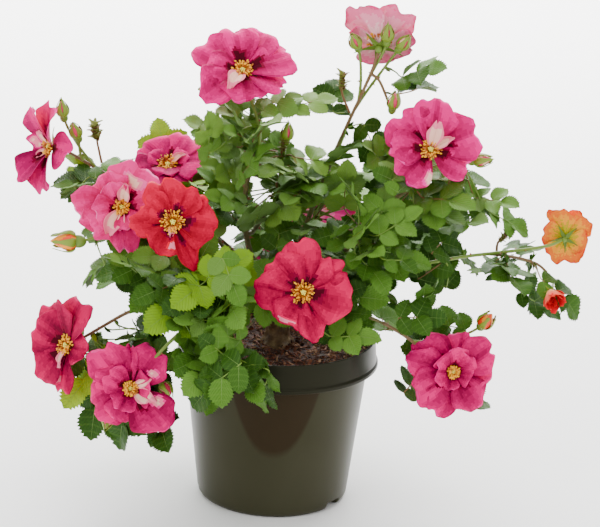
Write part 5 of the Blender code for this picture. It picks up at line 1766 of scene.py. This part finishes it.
# Outline of the crown stem in millimetres: heights above its foot, and radii there.
STEM_HEIGHTS = (0, 2.5, 6, 11, 17, 22, 27, 32, 37, 41, 44.5, 46)
STEM_SIZES = (18.0, 15.5, 12.4, 10.6, 11.2, 13.8, 15.2, 15.0, 13.2, 10.4, 6.0, 0.5)
STEM_ROWS, STEM_COLUMNS = 60, 72
STEM_LUMPS = 4 * MM                 # size of the lumps in its bark
STEM_RELIEF = 0.9 * MM              # their height


def make_crown_stem():
    """Short woody stem with its flare and the swollen crown that the canes spring from."""
    foot = SOIL_LEVEL + SOIL_MOUND - MM
    profile = [(np.interp(h, STEM_HEIGHTS, STEM_SIZES) * MM, foot + h * MM)
               for h in np.linspace(0, STEM_HEIGHTS[-1], STEM_ROWS)]

    def wobble(turn, height):
        ridge = 0.05 * np.sin(3 * turn + 40 * height) + 0.04 * np.sin(7 * turn - 90 * height)
        knots = 0.07 * np.sin(2 * turn + 1.3) * np.sin(height * 160)
        return 1 + ridge + knots

    spots = lathe(profile, STEM_COLUMNS, wobble).reshape(-1, 3)
    rough = np.array([noise.fractal(Vector(p) / STEM_LUMPS, 1.0, 2.0, 4) for p in spots])
    away = spots * np.array([1, 1, 0])
    away /= np.maximum(np.linalg.norm(away, axis=1, keepdims=True), 1e-9)
    heap = Heap()
    heap.add(spots + away * rough[:, None] * STEM_RELIEF,
             grid_faces(STEM_ROWS, STEM_COLUMNS, closed=True), 0)
    bark = bark_material("old_bark", (84, 62, 40), (118, 90, 58), (156, 128, 92), 120.0)
    seat(heap.build("crown_wood", [bark]), "old_wood", "crown_stem")


POT_DARK, POT_OLIVE = (50, 49, 35), (56, 55, 41)
# The first is the brown of the painted reflection low on the front, the second the collar's
# colour.
POT_REFLECTION, POT_COLLAR = (40, 27, 16), (32, 32, 24)
POT_TINT = (186, 182, 150)          # tint of its gloss
POT_SHEEN = 0.17
# Painted reflection: a darker, browner bowl on the front of the wall, below the collar.
REFLECTION_MIDDLE = 0.0 * MM             # middle of the painted reflection, a browner bowl on the front
REFLECTION_HALF = 40.0 * MM              # its half width where it meets the collar
REFLECTION_FOOT = 66.0 * MM              # its lowest height
REFLECTION_RISE = 62.0 * MM              # how much higher its sides end
REFLECTION_POWER = 2.4                   # how squarely the bowl's outline turns up
POT_COLUMNS = 240
NOTCH_SLOPE = 1.6 * MM              # width of a drain notch's slanting sides
OUTER_ROWS = 30                     # rows of the profile that lie below the floor or outside


def wall_radius(height):
    """Outside radius of the tapered body at a height."""
    return POT_BASE_RADIUS + (POT_NECK_RADIUS - POT_BASE_RADIUS) * height / COLLAR_FOOT


def rounded(profile, radius, steps=4):
    """The same profile with its inner corners rounded."""
    points = [Vector(p) for p in profile]
    out = [points[0]]
    for before, corner, after in zip(points, points[1:], points[2:]):
        a, b = before - corner, after - corner
        cut = min(radius, a.length * 0.45, b.length * 0.45)
        start, end = corner + a.normalized() * cut, corner + b.normalized() * cut
        for i in range(steps + 1):
            t = i / steps
            out.append((1 - t) ** 2 * start + 2 * t * (1 - t) * corner + t * t * end)
    out.append(points[-1])
    return [tuple(p) for p in out]


def notch_lift(turn):
    """How far the drain notches lift the pot's foot at these turns, from 0 to 1."""
    rise = np.zeros_like(turn)
    for angle in NOTCH_ANGLES:
        middle = math.atan2(heading(angle, 0).y, heading(angle, 0).x)
        off = np.abs((turn - middle + math.pi) % (2 * math.pi) - math.pi) * POT_BASE_RADIUS
        rise = np.maximum(rise, np.clip((NOTCH_WIDTH / 2 - off) / NOTCH_SLOPE, 0, 1))
    return rise


def pot_material():
    """Moulded plastic: olive grey and greyer on the collar, with a painted reflection that makes
    it browner low on the front.
    """
    mat, tree, shader = new_material("pot_plastic", (44, 42, 31), 0.32, POT_SHEEN)
    places = tree.nodes.new("ShaderNodeTexCoord").outputs["Object"]
    axes = tree.nodes.new("ShaderNodeSeparateXYZ")
    tree.links.new(places, axes.inputs[0])

    def less(first, second):
        return math_node(tree, "SUBTRACT", first, second)

    cloud = noise_node(tree, 9.0, 2.0)
    olive = ramp_node(tree, cloud, (0.35, POT_DARK), (0.65, POT_OLIVE))
    # Painted reflection: a browner bowl low on the front face, under the collar.
    off = math_node(tree, "DIVIDE", less(axes.outputs["X"], REFLECTION_MIDDLE), REFLECTION_HALF)
    turned = math_node(tree, "POWER", math_node(tree, "ABSOLUTE", off), REFLECTION_POWER)
    bowl = math_node(tree, "MULTIPLY", turned, REFLECTION_RISE)
    depth = less(less(axes.outputs["Z"], REFLECTION_FOOT), bowl)
    front = range_node(tree, axes.outputs["Y"], -0.05, -0.06, 0.0, 1.0)
    reflection = math_node(tree, "MULTIPLY", range_node(tree, depth, -4 * MM, 4 * MM, 0.0, 0.8), front)
    body = blend_node(tree, reflection, olive, POT_REFLECTION)
    collar = range_node(tree, axes.outputs["Z"], COLLAR_FOOT - MM, COLLAR_FOOT + MM, 0.0, 1.0)
    tree.links.new(blend_node(tree, collar, body, POT_COLLAR), shader.inputs["Base Color"])
    bump_node(tree, shader, noise_node(tree, 650.0, 3.0), 0.04 * MM)
    roughen(tree, shader, cloud, 0.27, 0.35)
    shader.inputs["Specular Tint"].default_value = tone(POT_TINT)
    return mat


def make_pot():
    """Nursery pot: tapered body with a rounded foot, drain notches and a deep collar."""
    floor = FLOOR_RECESS + WALL
    foot = wall_radius(0) - FOOT_ROUND * 0.7
    corner = [(foot + FOOT_ROUND * 0.8 * math.sin(a), FOOT_ROUND * (1 - math.cos(a)))
              for a in np.linspace(0, math.pi / 2, 9)]
    wall = [(wall_radius(height) - 0.10 * MM, height)
            for height in np.linspace(FOOT_ROUND * 1.2, COLLAR_FOOT, 14)]
    outer = rounded([
        (POT_NECK_RADIUS, COLLAR_FOOT), (POT_LIP_RADIUS, COLLAR_FOOT),
        (POT_LIP_RADIUS, COLLAR_FOOT + 3.4 * MM),
        (POT_LIP_RADIUS - 1.7 * MM, COLLAR_FOOT + 5 * MM),
        (POT_RIM_RADIUS, POT_HEIGHT), (POT_RIM_RADIUS - WALL, POT_HEIGHT),
        (POT_RIM_RADIUS - WALL + 0.3 * MM, COLLAR_FOOT + 4 * MM)], 0.7 * MM)
    profile = [(0.1 * MM, 0), (CENTRE_DISC_RADIUS, 0), (CENTRE_DISC_RADIUS + 2 * MM, FLOOR_RECESS),
               (foot - FOOT_RING_WIDTH - 2 * MM, FLOOR_RECESS), (foot - FOOT_RING_WIDTH, 0.0),
               *corner, *wall, *outer[1:], (POT_NECK_RADIUS - WALL, COLLAR_FOOT + WALL),
               (wall_radius(floor) - WALL - 2 * MM, floor), (0.1 * MM, floor)]
    spots = lathe(profile, POT_COLUMNS)
    height = spots[..., 2]
    turn = np.arange(POT_COLUMNS)[None, :] * 2 * math.pi / POT_COLUMNS + 0 * height
    near_foot = np.hypot(spots[..., 0], spots[..., 1]) > foot - FOOT_RING_WIDTH - 0.1 * MM
    outside = np.arange(len(profile))[:, None] < OUTER_ROWS
    lifted = height + (NOTCH_HEIGHT - height) * notch_lift(turn)
    spots[..., 2] = np.where(near_foot & outside & (height < NOTCH_HEIGHT), lifted, height)
    heap = Heap()
    heap.add(spots.reshape(-1, 3), grid_faces(len(profile), POT_COLUMNS, closed=True), 0)
    pot = heap.build("nursery_pot", [pot_material()])
    pot.data.set_sharp_from_angle(angle=math.radians(42))
    seat(pot, "pot_plastic", "pot")


SOIL_ROWS, SOIL_COLUMNS = 40, 150
SOIL_LUMPS = 7 * MM                 # size of the lumps in the compost
SOIL_RELIEF = 1.5 * MM              # their height
CHIPS = 2600
CHIP_LENGTHS = (2.5, 10.0)          # millimetres
CHIP_WIDTHS = (0.10, 0.42)          # by the chip's length
CHIP_THICKNESS = (0.3, 1.0)         # millimetres
BOX_FACES = ((3, 2, 1, 0), (4, 5, 6, 7), (0, 1, 5, 4), (1, 2, 6, 5), (2, 3, 7, 6), (3, 0, 4, 7))
# Dark, middle and light tone of the bed and of the chips on it.
COMPOST_TONES = {
    "compost_bed": ((44, 24, 14), (78, 44, 26), (112, 68, 42)),
    "bark_chip": ((76, 38, 20), (118, 64, 36), (150, 88, 52)),
    "bark_chip_dark": ((44, 22, 14), (70, 38, 24), (98, 56, 36)),
    "bark_chip_pale": ((126, 82, 52), (164, 116, 78), (196, 152, 112)),
}
CHIP_SHADES = (1, 1, 2, 3, 1, 2)    # rows of that table that a chip draws from


def make_compost():
    """Fibrous bark compost, a little mounded to the stem and uneven."""
    edge = POT_RIM_RADIUS - WALL - GAP * 2
    heap = Heap()
    share = np.linspace(0.0, 1.0, SOIL_ROWS)[:, None] ** 0.8
    turn = np.arange(SOIL_COLUMNS)[None, :] * 2 * math.pi / SOIL_COLUMNS
    radius = share * edge + 0.2 * MM
    x, y = radius * np.cos(turn), radius * np.sin(turn)
    relief = np.array([noise.fractal(Vector((a, b, 0.3)) / SOIL_LUMPS, 1.0, 2.1, 5)
                       for a, b in zip(x.ravel(), y.ravel())]).reshape(x.shape)
    z = SOIL_LEVEL + SOIL_MOUND * (1 - share) + relief * SOIL_RELIEF * (1 - share ** 6) - 0.8 * MM
    spots = np.stack([x, y, z], axis=2)
    x, y = x[-1] * 0.992, y[-1] * 0.992
    skirt = np.stack([x, y, 0 * x + COLLAR_FOOT + 5 * MM], axis=1)
    spots = np.concatenate([spots, skirt[None]])
    heap.add(spots.reshape(-1, 3), grid_faces(SOIL_ROWS + 1, SOIL_COLUMNS, closed=True), 0)
    draw = random.Random("compost")
    for _ in range(CHIPS):
        r = edge * math.sqrt(draw.random()) * 0.985
        a = draw.uniform(0, 2 * math.pi)
        z = SOIL_LEVEL + SOIL_MOUND * (1 - r / edge) + draw.uniform(-1.2, 1.6) * MM
        spot = np.array(Vector((r * math.cos(a), r * math.sin(a), z)))
        way = Vector((draw.uniform(-1, 1), draw.uniform(-1, 1), draw.gauss(0, 0.3))).normalized()
        up = (Vector((0, 0, 1)) + Vector([draw.gauss(0, 0.35) for _ in range(3)])).normalized()
        length = draw.uniform(*CHIP_LENGTHS) * MM
        if r + length * 0.5 > edge:
            length = max(1.5 * MM, (edge - r) * 1.6)
        width = length * draw.uniform(*CHIP_WIDTHS)
        thickness = draw.uniform(*CHIP_THICKNESS) * MM
        basis = frame_of(way, up) * np.array([[width / 2], [length / 2], [thickness]])
        chip = np.array([(draw.uniform(0.6, 1) * sx, draw.uniform(0.7, 1) * sy, sz * 0.5)
                         for sz in (-1, 1) for sx, sy in ((-1, -1), (1, -1), (1, 1), (-1, 1))])
        heap.add(chip @ basis + spot, BOX_FACES, draw.choice(CHIP_SHADES))
    skins = [bark_material(name, *tones, 260.0) for name, tones in COMPOST_TONES.items()]
    seat(heap.build("compost", skins, smooth=False), "compost", "soil")


# --- Stage ------------------------------------------------------------------------------------

FLOOR_X, FLOOR_Y = 5.0, (-2.5, 7.0)  # half width, front and back edge
WORLD_STRENGTH = 1.1
# Lamps: place, target, (width, height) and power.
LAMPS = {
    "lamp_left": ((-1.4, -1.5, 1.4), (0, 0, 0.22), (1.0, 1.4), 14.0),
    "lamp_right": ((1.7, -1.2, 1.1), (0, 0, 0.22), (0.9, 1.4), 7.0),
    "lamp_top": ((0.0, 0.0, 2.0), (0, 0, 0.22), (1.6, 1.6), 15.0),
    "lamp_back": ((0.0, 3.2, 2.2), (0, 3.0, 0), (4.0, 3.6), 620.0),
}
CAMERA_SPOT = (0.0, -1.9, 0.8139)
CAMERA_TURN = (0.552, 17.203, 2.329)    # yaw, pitch down and roll, in degrees
CAMERA_LENS = 129.17
CAMERA_SENSOR = 36.0


def make_stage():
    """White floor, even light from all round and four lamps."""
    (front, back), wide = FLOOR_Y, FLOOR_X
    mesh = bpy.data.meshes.new("studio_floor")
    mesh.from_pydata([(-wide, front, 0), (wide, front, 0), (wide, back, 0), (-wide, back, 0)],
                     [], [(0, 1, 2, 3)])
    floor = new_object("studio_floor", mesh)
    mat, tree, shader = new_material("studio_paper", (250, 250, 249), 0.7)
    bump_node(tree, shader, noise_node(tree, 300.0, 2.0), 0.05 * MM)
    mesh.materials.append(mat)
    world = bpy.data.worlds.new("studio")
    world.use_nodes = True
    sky = world.node_tree.nodes["Background"]
    sky.inputs["Color"].default_value = (1, 1, 1, 1)
    sky.inputs["Strength"].default_value = WORLD_STRENGTH
    bpy.context.scene.world = world
    for name, (spot, target, size, power) in LAMPS.items():
        light = bpy.data.lights.new(name, "AREA")
        light.shape = "RECTANGLE"
        light.size, light.size_y = size
        light.energy = power
        lamp = new_object(name, light)
        lamp.location = spot
        aim = Vector(target) - Vector(spot)
        lamp.rotation_euler = aim.to_track_quat("-Z", "Y").to_euler()


def make_camera():
    """Camera fitted to the pot in the photo."""
    yaw, pitch, roll = (math.radians(angle) for angle in CAMERA_TURN)
    ahead = Vector((math.sin(yaw) * math.cos(pitch), math.cos(yaw) * math.cos(pitch),
                    -math.sin(pitch)))
    right = ahead.cross(Vector((0, 0, 1))).normalized()
    up = right.cross(ahead)
    turned_right = math.cos(roll) * right + math.sin(roll) * up
    turned_up = math.cos(roll) * up - math.sin(roll) * right
    data = bpy.data.cameras.new("camera")
    data.lens = CAMERA_LENS
    data.sensor_width = CAMERA_SENSOR
    camera = new_object("camera", data)
    pose = Matrix((turned_right, turned_up, -ahead)).transposed().to_4x4()
    pose.translation = CAMERA_SPOT
    camera.matrix_world = pose
    bpy.context.scene.camera = camera


make_crown()
make_canes()
make_crown_stem()
make_pot()
make_compost()
make_stage()
make_camera()
